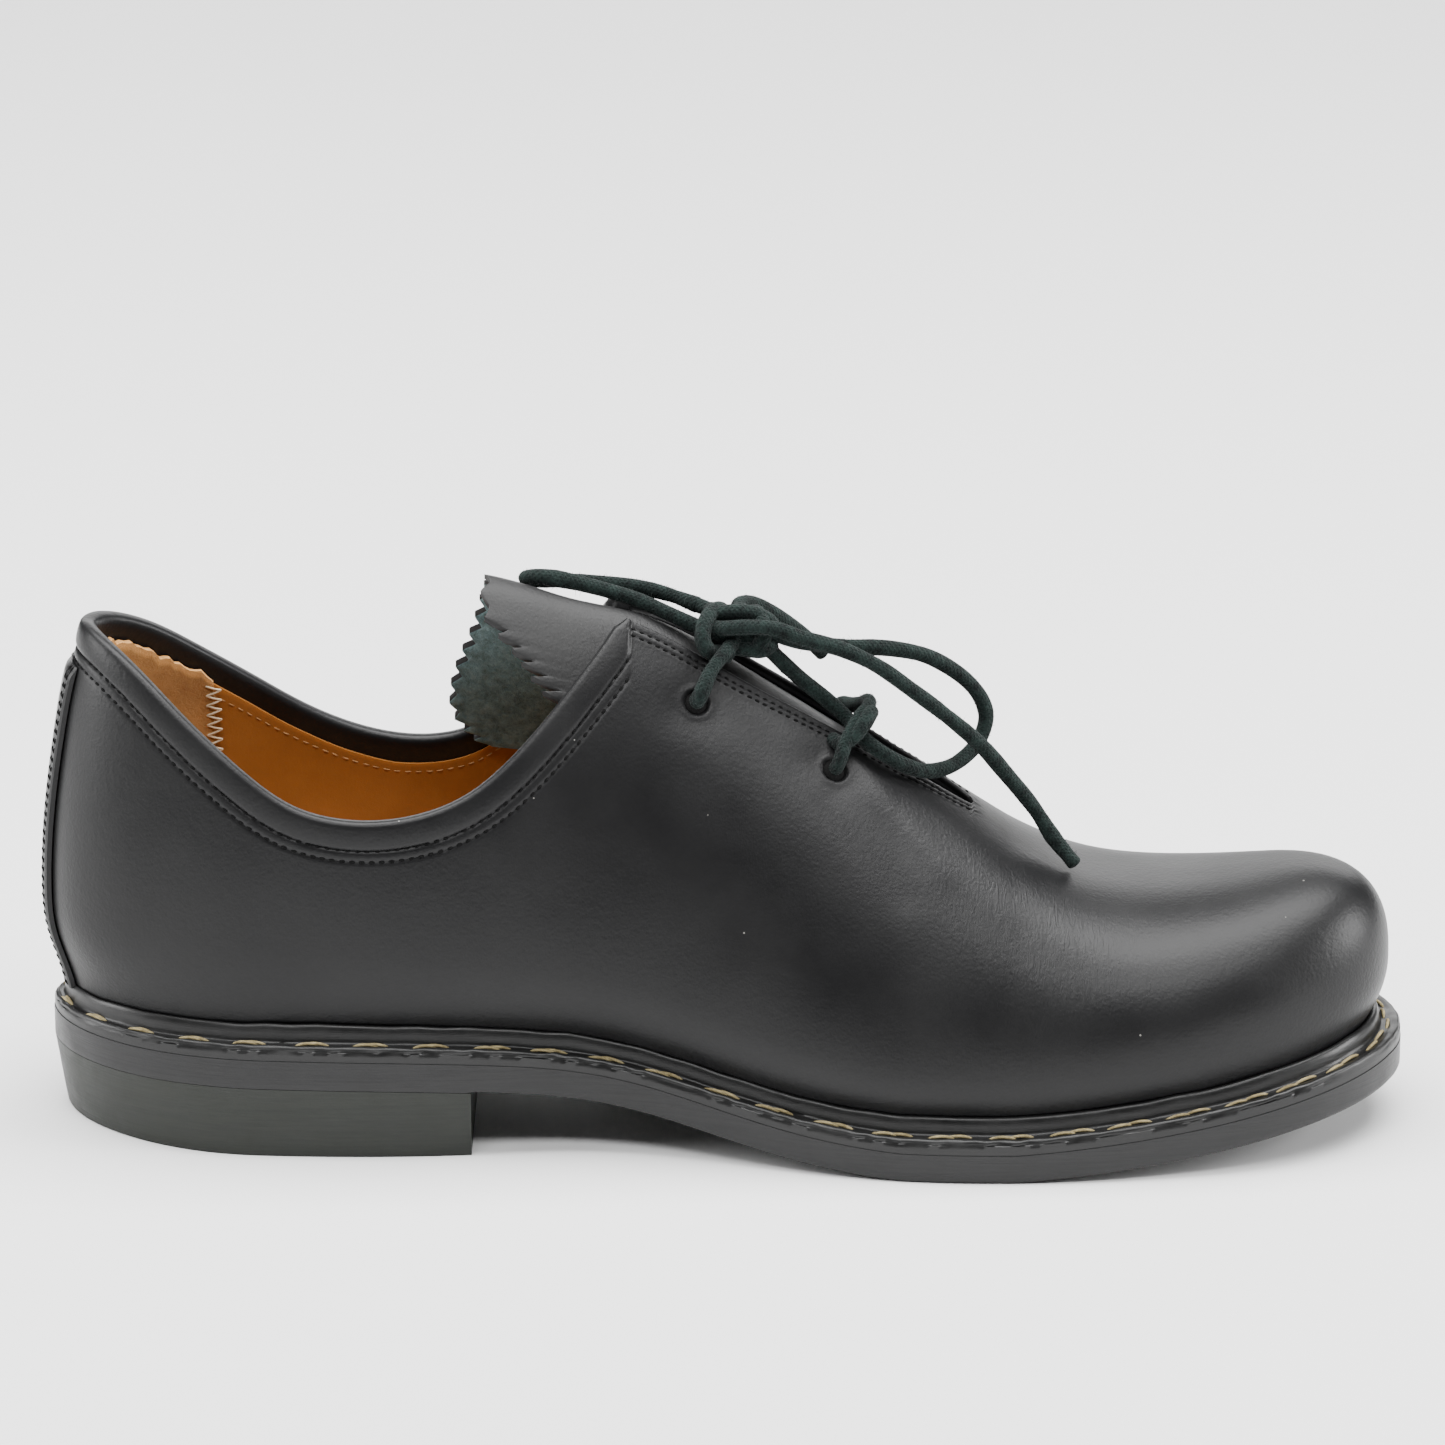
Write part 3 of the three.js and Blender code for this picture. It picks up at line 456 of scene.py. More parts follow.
def row_origin():
    """Where the row frame's origin lies on the last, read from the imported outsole's box."""
    outline = sole_edge(full_ring(4.0))[:, :2]
    low, high = (np.array(corner[:2]) * 1000 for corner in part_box("outsole"))
    shift = (outline.min(0) + outline.max(0)) / 2 - (low + high) / 2
    return np.array([shift[0], shift[1], 0.0])


ORIGIN = row_origin()


def to_row(points):
    return (np.asarray(points, float).reshape(-1, 3) - ORIGIN) / 1000


# Camera: it looks at the inner side from a little above, from 1.5 m
CAMERA_DISTANCE = 1.5
CAMERA_PITCH = math.radians(19)
CAMERA_AIM = to_row((150.2, 0, 88.9))[0]
PIXELS_PER_METRE = 4540
PHOTO_WIDTH = 1445
SENSOR_WIDTH = 36


def make_camera():
    data = bpy.data.cameras.new("photo_camera")
    data.sensor_width = SENSOR_WIDTH
    data.lens = PIXELS_PER_METRE * CAMERA_DISTANCE / PHOTO_WIDTH * SENSOR_WIDTH
    data.clip_start = 0.05
    camera = bpy.data.objects.new("photo_camera", data)
    back = np.array([0, -math.cos(CAMERA_PITCH), math.sin(CAMERA_PITCH)])
    camera.location = CAMERA_AIM + back * CAMERA_DISTANCE
    camera.rotation_euler = (math.pi / 2 - CAMERA_PITCH, 0, 0)
    bpy.context.scene.collection.objects.link(camera)
    bpy.context.scene.camera = camera


make_camera()


# Mesh making
def grid_faces(rows, columns, wrap_rows=False, wrap_columns=False, start=0):
    i = np.arange(rows if wrap_rows else rows - 1)
    j = np.arange(columns if wrap_columns else columns - 1)
    i, j = (v.ravel() for v in np.meshgrid(i, j, indexing="ij"))
    next_i, next_j = (i + 1) % rows, (j + 1) % columns
    corners = [i * columns + j, next_i * columns + j, next_i * columns + next_j, i * columns + next_j]
    return start + np.stack(corners, -1)


def make_piece(name, points, faces, material, slot, replaces=(), sharp=None, uv=None, **attributes):
    """A welded mesh that rides on the shoe. uv holds one pair for each corner of each face."""
    mesh = bpy.data.meshes.new(name)
    mesh.from_pydata(to_row(points).tolist(), [], np.asarray(faces).tolist() if len(faces) else [])
    for key, values in attributes.items():
        layer = mesh.attributes.new(key, "FLOAT", "POINT")
        layer.data.foreach_set("value", np.asarray(values, np.float32).ravel())
    if uv is not None:
        layer = mesh.uv_layers.new(name="run")
        layer.data.foreach_set("uv", np.asarray(uv, np.float32).ravel())
    bm = bmesh.new()
    bm.from_mesh(mesh)
    bmesh.ops.remove_doubles(bm, verts=bm.verts, dist=1e-6)
    bmesh.ops.dissolve_degenerate(bm, edges=bm.edges, dist=1e-7)
    bmesh.ops.recalc_face_normals(bm, faces=bm.faces)
    bm.to_mesh(mesh)
    bm.free()
    mesh.shade_smooth()
    if sharp is not None:
        mesh.set_sharp_from_angle(angle=math.radians(sharp))
    mesh.materials.append(material)
    made = bpy.data.objects.new(name, mesh)
    bpy.context.scene.collection.objects.link(made)
    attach(made, "root")
    if replaces:
        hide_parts(*replaces)
    return made


def unit(vectors):
    length = np.linalg.norm(vectors, axis=-1, keepdims=True)
    return vectors / np.maximum(length, 1e-9)


def grid_normals(grid, outward):
    """Normals of a grid of points that closes on itself, turned to the side of outward."""
    run = np.roll(grid, -1, 0) - np.roll(grid, 1, 0)
    normals = unit(np.cross(run, np.gradient(grid, axis=1)))
    flip = np.sign(np.sum(normals * outward, -1, keepdims=True))
    return normals * np.where(flip == 0, 1, flip)


# Materials
def node(tree, kind, inputs=None, **settings):
    """Adds a node, sets it, and links or sets the named inputs."""
    made = tree.nodes.new("ShaderNode" + kind)
    for key, value in settings.items():
        setattr(made, key, value)
    for socket, value in (inputs or {}).items():
        if isinstance(value, bpy.types.NodeSocket):
            tree.links.new(value, made.inputs[socket])
        else:
            made.inputs[socket].default_value = value
    return made


def sums(tree, operation, first, second=0.0, third=None, clamp=False):
    inputs = {0: first, 1: second}
    if third is not None:
        inputs[2] = third
    return node(tree, "Math", inputs, operation=operation, use_clamp=clamp).outputs[0]


def noise(tree, vector, scale, detail=4.0, roughness=0.55, distortion=0.0):
    inputs = {
        "Vector": vector, "Scale": scale, "Detail": detail, "Roughness": roughness,
        "Distortion": distortion}
    return node(tree, "TexNoise", inputs).outputs["Fac"]


def stretch(tree, vector, scale, rotation=(0, 0, 0)):
    return node(tree, "Mapping", {"Vector": vector, "Scale": scale, "Rotation": rotation}).outputs[0]


def ramp(tree, value, low, high, to_low=0.0, to_high=1.0):
    inputs = {"Value": value, "From Min": low, "From Max": high, "To Min": to_low, "To Max": to_high}
    return node(tree, "MapRange", inputs).outputs[0]


def mix(tree, share, first, second):
    made = node(tree, "Mix", {"Factor": share}, data_type="RGBA")
    for index, value in ((6, first), (7, second)):
        if isinstance(value, bpy.types.NodeSocket):
            tree.links.new(value, made.inputs[index])
        else:
            made.inputs[index].default_value = (*value, 1)
    return made.outputs[2]


def new_group(name, inputs, outputs):
    """A shader node group with named number inputs (name, default) and number outputs."""
    group = bpy.data.node_groups.new(name, "ShaderNodeTree")
    for label, default in inputs:
        group.interface.new_socket(
            label, in_out="INPUT", socket_type="NodeSocketFloat").default_value = default
    for label in outputs:
        group.interface.new_socket(label, in_out="OUTPUT", socket_type="NodeSocketFloat")
    entry = group.nodes.new("NodeGroupInput")
    leave = group.nodes.new("NodeGroupOutput")
    return group, entry.outputs, leave.inputs


def placed(tree, group, **values):
    """A group set into a material, with its own values."""
    made = tree.nodes.new("ShaderNodeGroup")
    made.node_tree = group
    for label, value in values.items():
        socket = made.inputs[label.replace("_", " ")]
        if isinstance(value, bpy.types.NodeSocket):
            tree.links.new(value, socket)
        else:
            socket.default_value = value
    return made.outputs


def object_place(tree):
    return node(tree, "TexCoord").outputs["Object"]


def grain_group():
    """Skin of smooth leather: fine pores and a soft, broad unevenness."""
    group, entry, leave = new_group(
        "leather_grain", [("Pore Scale", 1500.0), ("Pore Depth", 0.5)], ["Height", "Tone"])
    place = object_place(group)
    pores = node(group, "TexVoronoi", {"Vector": place, "Scale": entry["Pore Scale"]}, feature="SMOOTH_F1")
    skin = noise(group, place, 650.0, 5.0, 0.62)
    pored = sums(group, "MULTIPLY", pores.outputs["Distance"], entry["Pore Depth"])
    group.links.new(sums(group, "MULTIPLY_ADD", skin, 0.7, pored), leave["Height"])
    group.links.new(noise(group, place, 38.0, 3.0, 0.5), leave["Tone"])
    return group


def wrinkle_group():
    """Fine wrinkles that run one way, where a mask lets them."""
    inputs = [("Mask", 1.0), ("Across", 900.0), ("Along", 170.0), ("Turn", 0.0)]
    group, entry, leave = new_group("fine_wrinkles", inputs, ["Height"])
    turn = node(group, "CombineXYZ", {"X": 0.0, "Y": entry["Turn"], "Z": 0.0}).outputs[0]
    turned = stretch(group, object_place(group), (1, 1, 1))
    group.links.new(turn, turned.node.inputs["Rotation"])
    scale = node(
        group, "CombineXYZ", {"X": entry["Across"], "Y": entry["Along"], "Z": entry["Along"]}).outputs[0]
    squeezed = node(group, "VectorMath", {0: turned, 1: scale}, operation="MULTIPLY").outputs[0]
    waves = noise(group, squeezed, 1.0, 3.0, 0.6, 0.9)
    ridged = sums(group, "ABSOLUTE", sums(group, "SUBTRACT", waves, 0.5))
    group.links.new(sums(group, "MULTIPLY", ridged, entry["Mask"]), leave["Height"])
    return group


def speck_group():
    """A few specks of dust, each a fraction of a millimetre across."""
    group, entry, leave = new_group("dust_specks", [("Scale", 130.0), ("Size", 0.028)], ["Mask"])
    cells = node(
        group, "TexVoronoi", {"Vector": object_place(group), "Scale": entry["Scale"], "Randomness": 1.0})
    is_near = sums(group, "LESS_THAN", cells.outputs["Distance"], entry["Size"])
    is_picked = sums(
        group, "GREATER_THAN", node(group, "SeparateColor", {0: cells.outputs["Color"]}).outputs[0], 0.55)
    group.links.new(sums(group, "MULTIPLY", is_near, is_picked), leave["Mask"])
    return group


def nap_group():
    """Short, brushed fibres of suede or felted thread."""
    group, entry, leave = new_group("nap", [("Scale", 1800.0)], ["Height", "Tone"])
    place = object_place(group)
    fibres = noise(group, place, entry["Scale"], 6.0, 0.75, 0.4)
    clumps = noise(group, place, 420.0, 3.0, 0.6)
    group.links.new(sums(group, "MULTIPLY_ADD", clumps, 0.5, fibres), leave["Height"])
    group.links.new(
        sums(group, "MULTIPLY_ADD", clumps, 0.55, sums(group, "MULTIPLY", fibres, 0.45)), leave["Tone"])
    return group


def braid_group():
    """Two sets of strands that wind round a lace. Its UV runs round and along the lace."""
    group, entry, leave = new_group("braid", [("Strands", 8.0), ("Twist", 3.2)], ["Height"])
    place = node(group, "SeparateXYZ", {0: node(group, "UVMap", uv_map="run").outputs[0]})
    waves = []
    for way in (1.0, -1.0):
        turn = sums(group, "MULTIPLY", place.outputs["X"], entry["Strands"])
        run = sums(group, "MULTIPLY", sums(group, "MULTIPLY", place.outputs["Y"], entry["Twist"]), way)
        angle = sums(group, "MULTIPLY", sums(group, "ADD", turn, run), 2 * math.pi)
        waves.append(sums(group, "SINE", angle))
    group.links.new(sums(group, "MAXIMUM", *waves), leave["Height"])
    return group


GRAIN = grain_group()
WRINKLES = wrinkle_group()
SPECKS = speck_group()
NAP = nap_group()
BRAID = braid_group()


def new_material(name, **settings):
    """A material with its principled shader. Settings are that shader's own sockets, by name."""
    material = bpy.data.materials.new(name)
    material.use_nodes = True
    tree = material.node_tree
    shader = tree.nodes["Principled BSDF"]
    for label, value in settings.items():
        shader.inputs[label.replace("_", " ")].default_value = value
    return material, tree, shader


def bumped(tree, shader, height, strength, distance):
    bump = node(tree, "Bump", {"Height": height, "Strength": strength, "Distance": distance})
    tree.links.new(bump.outputs[0], shader.inputs["Normal"])


def attribute(tree, name):
    return node(tree, "Attribute", attribute_name=name).outputs["Fac"]


def smooth_leather(
        name, dark, light, rough, wrinkle_turn=0.0, wrinkle_depth=1.0, pore_depth=0.35, specks=True):
    """Black leather with a satin polish. The mesh says where it is wrinkled, and where it is worn."""
    material, tree, shader = new_material(
        name, Coat_Weight=0.03, Coat_Roughness=0.3, Specular_IOR_Level=0.21)
    grain = placed(tree, GRAIN, Pore_Depth=pore_depth)
    creased = placed(tree, WRINKLES, Mask=attribute(tree, "wrinkled"), Turn=wrinkle_turn)
    height = sums(
        tree, "MULTIPLY_ADD", creased["Height"], wrinkle_depth,
        sums(tree, "MULTIPLY", grain["Height"], 0.3))
    bumped(tree, shader, height, 0.6, 0.0006)
    tone = ramp(tree, grain["Tone"], 0.3, 0.7)
    colour = mix(tree, tone, dark, light)
    worn = sums(tree, "MULTIPLY", attribute(tree, "worn"), 0.5)
    colour = mix(tree, worn, colour, tuple(4 * c for c in light))
    if specks:
        colour = mix(
            tree, sums(tree, "MULTIPLY", placed(tree, SPECKS)["Mask"], 0.6), colour, (0.3, 0.29, 0.27))
    tree.links.new(colour, shader.inputs["Base Color"])
    tree.links.new(ramp(tree, tone, 0, 1, rough - 0.03, rough + 0.05), shader.inputs["Roughness"])
    return material


def lining_leather(name, dark, light, rough, nap_strength):
    """Undyed tan leather, with a tone that drifts and a short nap."""
    material, tree, shader = new_material(name, Specular_IOR_Level=0.35)
    nap = placed(tree, NAP, Scale=1500.0)
    place = object_place(tree)
    drift = ramp(tree, noise(tree, place, 45.0, 4.0, 0.6), 0.3, 0.7)
    tone = sums(tree, "MULTIPLY_ADD", drift, 0.6, sums(tree, "MULTIPLY", nap["Tone"], 0.4))
    colour = mix(tree, tone, dark, light)
    colour = mix(tree, attribute(tree, "worn"), colour, tuple(min(1, 1.35 * c) for c in light))
    tree.links.new(colour, shader.inputs["Base Color"])
    tree.links.new(ramp(tree, drift, 0, 1, rough, rough + 0.1), shader.inputs["Roughness"])
    bumped(tree, shader, nap["Height"], nap_strength, 0.0004)
    return material


def suede(name, dark, light):
    """The flesh side of the tongue: a dense grey-green nap."""
    material, tree, shader = new_material(
        name, Roughness=0.95, Sheen_Weight=0.25, Sheen_Roughness=0.4, Specular_IOR_Level=0.2)
    nap = placed(tree, NAP, Scale=1300.0)
    tree.links.new(
        mix(tree, ramp(tree, nap["Tone"], 0.35, 0.65), dark, light), shader.inputs["Base Color"])
    bumped(tree, shader, nap["Height"], 0.8, 0.0006)
    return material


def lace_cotton(name, dark, light):
    """Round woven lace: a fine braid under short fuzz."""
    material, tree, shader = new_material(
        name, Roughness=0.92, Sheen_Weight=0.06, Sheen_Roughness=0.5, Specular_IOR_Level=0.1)
    nap = placed(tree, NAP, Scale=2300.0)
    braid = placed(tree, BRAID)
    height = sums(tree, "MULTIPLY_ADD", nap["Height"], 1.0, sums(tree, "MULTIPLY", braid["Height"], 0.18))
    bumped(tree, shader, height, 0.9, 0.0007)
    # Lighter on the braid's crests and darker between its strands: painted shade in the braid's valleys, over
    # the random tone of the nap.
    tone = sums(
        tree, "MULTIPLY_ADD", braid["Height"], 0.05, ramp(tree, nap["Tone"], 0.38, 0.62), clamp=True)
    tree.links.new(mix(tree, tone, dark, light), shader.inputs["Base Color"])
    return material


def thread(name, dark, light, rough):
    """Waxed sewing thread, twisted along its own length."""
    material, tree, shader = new_material(name, Specular_IOR_Level=0.15)
    nap = placed(tree, NAP, Scale=2600.0)
    tree.links.new(
        mix(tree, ramp(tree, nap["Tone"], 0.35, 0.65), dark, light), shader.inputs["Base Color"])
    tree.links.new(ramp(tree, nap["Tone"], 0, 1, rough, rough + 0.2), shader.inputs["Roughness"])
    bumped(tree, shader, nap["Height"], 0.6, 0.0003)
    return material


def edge_finish(name, dark, light, rough, lines=0.5):
    """Dyed and burnished edges of welt, sole and heel, with long fine lines that run round the shoe."""
    material, tree, shader = new_material(
        name, Coat_Weight=0.05, Coat_Roughness=0.2, Specular_IOR_Level=0.32)
    place = object_place(tree)
    streaks = noise(tree, stretch(tree, place, (60, 60, 1500)), 1.0, 4.0, 0.6)
    smear = noise(tree, place, 160.0, 5.0, 0.65)
    height = sums(tree, "MULTIPLY_ADD", streaks, lines, sums(tree, "MULTIPLY", smear, 0.5))
    bumped(tree, shader, height, 0.35, 0.0005)
    tone = ramp(
        tree, sums(tree, "MULTIPLY_ADD", streaks, 0.5, sums(tree, "MULTIPLY", smear, 0.5)), 0.35, 0.65)
    colour = mix(tree, tone, dark, light)
    colour = mix(
        tree, sums(tree, "MULTIPLY", attribute(tree, "worn"), 0.6), colour, tuple(5 * c for c in light))
    tree.links.new(colour, shader.inputs["Base Color"])
    tree.links.new(ramp(tree, smear, 0.3, 0.7, rough, rough + 0.16), shader.inputs["Roughness"])
    return material


UPPER_LEATHER = smooth_leather("upper_leather", (0.005, 0.005, 0.0054), (0.009, 0.009, 0.0093), 0.4)
STRIP_LEATHER = smooth_leather("strip_leather", (0.007, 0.007, 0.0075), (0.01, 0.01, 0.0103), 0.34)
TONGUE_LEATHER = smooth_leather(
    "tongue_leather", (0.014, 0.014, 0.0145), (0.02, 0.02, 0.02), 0.46, math.radians(20), 0.8, 0.45, False)
TONGUE_SUEDE = suede("tongue_suede", (0.055, 0.1, 0.105), (0.19, 0.29, 0.3))
LINING = lining_leather("lining_leather", (0.25, 0.088, 0.016), (0.36, 0.14, 0.03), 0.5, 0.25)
GRIP = lining_leather("grip_leather", (0.2, 0.085, 0.024), (0.56, 0.29, 0.1), 0.9, 1.0)
INSOLE_LEATHER = lining_leather("insole_leather", (0.36, 0.15, 0.045), (0.5, 0.23, 0.07), 0.55, 0.35)
LACE = lace_cotton("lace_cotton", (0.001, 0.003, 0.0028), (0.013, 0.024, 0.021))
# Black thread, made darker than the black leather so that the stitches also carry painted shade of the grooves
# they lie in; the lace hole discs use it as painted shade as well.
BLACK_THREAD_AND_SHADE = thread("black_thread_and_shade", (0.001, 0.001, 0.001), (0.004, 0.004, 0.004), 0.8)
CREAM_THREAD = thread("cream_thread", (0.13, 0.1, 0.045), (0.42, 0.35, 0.19), 0.6)
TAN_THREAD = thread("tan_thread", (0.22, 0.1, 0.035), (0.42, 0.22, 0.09), 0.8)
PALE_THREAD = thread("pale_thread", (0.45, 0.33, 0.2), (0.75, 0.62, 0.45), 0.8)
WELT_FINISH = edge_finish("welt_finish", (0.005, 0.005, 0.005), (0.01, 0.01, 0.01), 0.3, 0.3)
SOLE_FINISH = edge_finish("sole_finish", (0.005, 0.005, 0.0055), (0.01, 0.01, 0.01), 0.36)
HEEL_FINISH = edge_finish("heel_finish", (0.007, 0.009, 0.0065), (0.013, 0.015, 0.011), 0.42)


# Laces. Their routes repeat the solids' points; the knot is a short coil over the slit.
KNOT = dict(x=153, y=0.5, z=111.4, radius=3.3, length=11, turns=1.75, start=0.9, steps=28)
FRONT_LOOP = [
    (161.7, -3, 110.4), (167.2, -4, 108.9), (178.1, -3, 107.6), (188, -1, 106.3), (195.6, 1, 103.8),
    (203.4, 3, 98.2), (207.2, 4, 93.2), (208.4, 4, 88.8), (206.6, 2, 83.7), (
        201.5, -3, 80.4), (195.6, -8, 80.4),
    (190.1, -11.6, 83), (184.3, -12, 86.6), (180.4, -10.4, 89.4), (177.2, -7, 92.6), (172.9, -5.5, 96.2),
    (167.2, -4.5, 100.7), (162.6, -4, 105),
]
REAR_LOOP = [
    (144.6, 6, 114.2), (138.4, 9, 115.6), (130.9, 10.5, 117), (123.2, 10, 118), (115.8, 9.4, 118.7),
    (110.1, 8.6, 119), (107, 6, 120.4), (109.2, 3.4, 121.6), (114.6, 2.6, 121.2), (120.1, 2.4, 120),
    (125.5, 2.2, 118.6), (132.1, 1.5, 116.6), (138.3, 0, 114.2), (144, -1, 111.8),
]
FRONT_END = [
    (161.8, -8, 113.4), (164.9, -8.2, 112), (171.5, -8.6, 110.2), (176.5, -8.8, 108.7), (184.1, -9, 105),
    (191.6, -9, 99.5), (199.3, -8.5, 93.3), (206.8, -7.5, 86.3), (212.7, -6.5, 79), (218.7, -5.5, 71.1),
    (223.2, -6.5, 64.3), (227.7, -9.5, 59.4),
]
BACK_END = [
    (153, 6.1, 112.4), (154, 10, 113.2), (157, 15, 111.6), (
        161, 18.5, 108.4), (165, 21.5, 104.6), (169, 24, 100.6),
    (172.5, 26.5, 96.2),
]
# Rows of share along the last, offset from the slit's line and height off the leather
NEAR_STRAND = [
    (0.4855, -15.5, -1.8), (0.4865, -14.8, 1.4), (0.492, -11.2, 2.8), (0.5, -7.2, 4), (0.507, -3.4, 4.2)]
FAR_STRAND = [(0.4855, 15.5, -1.8), (0.4865, 14.8, 1.8), (0.492, 12, 2.7), (0.5, 9, 2.6), (0.507, 6.5, 3)]
LOWER_BAR = [
    (0.587, -15.5, -1.8), (0.5875, -14.9, 1.6), (0.589, -12, 4), (0.593, -8, 6.4), (0.599, -3.5, 7),
    (0.601, 1.5, 5.6), (0.6, 6, 3.9), (0.596, 10, 2.8), (0.5895, 13, 2.4), (
        0.5875, 14.8, 1.4), (0.587, 15.5, -1.8),
]


def beside_slit(share, offset, lift, inset=0.0):
    """A point beside the slit: its distance from the slit's line, and its height off the leather."""
    station = one_station(share * LAST_LENGTH, -1 if offset < 0 else 1)

    def is_near(p):
        return np.abs(p[..., 1] - slit_y(p[..., 0])) < abs(offset)

    found = elevation_where(station, inset, 0.2, math.pi / 2, is_near)
    across = surface(station, found - 0.02, inset)[0] - surface(station, found + 0.02, inset)[0]
    ahead, behind = (surface(station._replace(x=station.x + step), found, inset)[0] for step in (1, -1))
    normal = np.cross(across, ahead - behind)
    normal *= np.sign(normal[2]) / np.linalg.norm(normal)
    return surface(station, found, inset)[0] + normal * lift


def through(points, spacing=0.45):
    """A smooth line through given points (centripetal Catmull-Rom), at an even spacing."""
    points = np.array(points, float)
    padded = np.vstack([2 * points[0] - points[1], points, 2 * points[-1] - points[-2]])
    dense = []
    for p0, p1, p2, p3 in zip(padded, padded[1:], padded[2:], padded[3:]):
        knots = np.cumsum(
            [0] + [math.sqrt(np.linalg.norm(b - a)) for a, b in ((p0, p1), (p1, p2), (p2, p3))])
        t = np.linspace(knots[1], knots[2], 40, endpoint=False)[:, None]

        def between(a, b, i, j):
            return ((knots[j] - t) * a + (t - knots[i]) * b) / (knots[j] - knots[i])

        a1, a2, a3 = between(p0, p1, 0, 1), between(p1, p2, 1, 2), between(p2, p3, 2, 3)
        dense.append(between(between(a1, a2, 0, 2), between(a2, a3, 1, 3), 1, 2))
    dense = np.vstack(dense + [points[-1:]])
    return resampled(dense, spacing)


def run_along(line):
    """Distance run from the first point of a line to each of its points."""
    return np.concatenate([[0], np.cumsum(np.linalg.norm(np.diff(line, axis=0), axis=1))])


def resampled(line, spacing):
    run = run_along(line)
    steps = max(2, round(run[-1] / spacing))
    wanted = np.linspace(0, run[-1], steps + 1)
    return np.stack([np.interp(wanted, run, line[:, k]) for k in range(3)], -1)


def carried_frames(line):
    """Two directions across a line at each point, carried along it without twist."""
    ways = unit(np.gradient(line, axis=0))
    across = np.cross(ways[0], (0.3, 0.2, 0.9))
    sides = []
    for way in ways:
        across = across - way * np.dot(across, way)
        across = across / np.linalg.norm(across)
        sides.append(across)
    sides = np.array(sides)
    return ways, sides, np.cross(ways, sides)


def tube(line, radius, around=16, end_rings=4):
    """Points, faces and UV of a round tube with softly rounded ends."""
    ways, sides, ups = carried_frames(line)
    radius = np.broadcast_to(radius, (len(line),)).astype(float)
    turn = np.linspace(0, math.pi / 2, end_rings + 1)[:-1]
    first = [line[0] - ways[0] * radius[0] * 0.45 * math.cos(a) for a in turn]
    last = [line[-1] + ways[-1] * radius[-1] * 0.45 * math.cos(a) for a in turn[::-1]]
    shrink = np.maximum(np.sin(turn), 0.02)
    centres = np.vstack([first, line, last])
    sides = np.vstack([np.repeat(sides[:1], end_rings, 0), sides, np.repeat(sides[-1:], end_rings, 0)])
    ups = np.vstack([np.repeat(ups[:1], end_rings, 0), ups, np.repeat(ups[-1:], end_rings, 0)])
    radii = np.concatenate([radius[0] * shrink, radius, radius[-1] * shrink[::-1]])
    phi = np.arange(around) * 2 * math.pi / around
    ring = np.cos(phi)[None, :, None] * sides[:, None] + np.sin(phi)[None, :, None] * ups[:, None]
    points = (centres[:, None] + ring * radii[:, None, None]).reshape(-1, 3)
    faces = grid_faces(len(centres), around, wrap_columns=True)
    run = run_along(centres) / LACE_DIAMETER
    i, k = (v.ravel() for v in np.meshgrid(np.arange(len(centres) - 1), np.arange(around), indexing="ij"))
    u0, u1, v0, v1 = k / around, (k + 1) / around, run[i], run[i + 1]
    uv = np.stack([u0, v0, u0, v1, u1, v1, u1, v0], -1)
    return points, faces, uv


lace_lines = {}


def make_lace(name, line, replaces, seed, radius=LACE_DIAMETER / 2):
    """One run of lace, a little uneven in thickness as woven cotton is."""
    wobble = wavy(len(line), 12, 0.045, np.random.default_rng(seed))
    points, faces, uv = tube(line, radius * (1 + wobble))
    lace_lines[name] = line
    return make_piece(name, points, faces, LACE, "lace_cord", replaces, uv=uv)


def make_cord(name, points, seed):
    line = through(points)
    cord = make_lace(name, line, (name,), seed)


def knot_points():
    share = np.arange(KNOT["steps"] + 1) / KNOT["steps"]
    turn = 2 * math.pi * KNOT["turns"] * share + KNOT["start"]
    return np.stack([
        KNOT["x"] + KNOT["length"] * (share - 0.5),
        KNOT["y"] + KNOT["radius"] * np.cos(turn),
        KNOT["z"] + KNOT["radius"] * np.sin(turn),
    ], -1)


def make_laces():
    make_cord("lace_knot", knot_points(), 1)
    make_cord("lace_loop_front", FRONT_LOOP, 2)
    make_cord("lace_loop_rear", REAR_LOOP, 3)
    make_cord("lace_end_front", FRONT_END, 4)
    make_cord("lace_end_back", BACK_END, 5)
    for name, rows, seed in (
        ("lace_strand_near", NEAR_STRAND, 6),
        ("lace_strand_far", FAR_STRAND, 7),
        ("lace_bar", LOWER_BAR, 8),
    ):
        make_lace(name, through([beside_slit(*row) for row in rows]), (name,), seed)


make_laces()

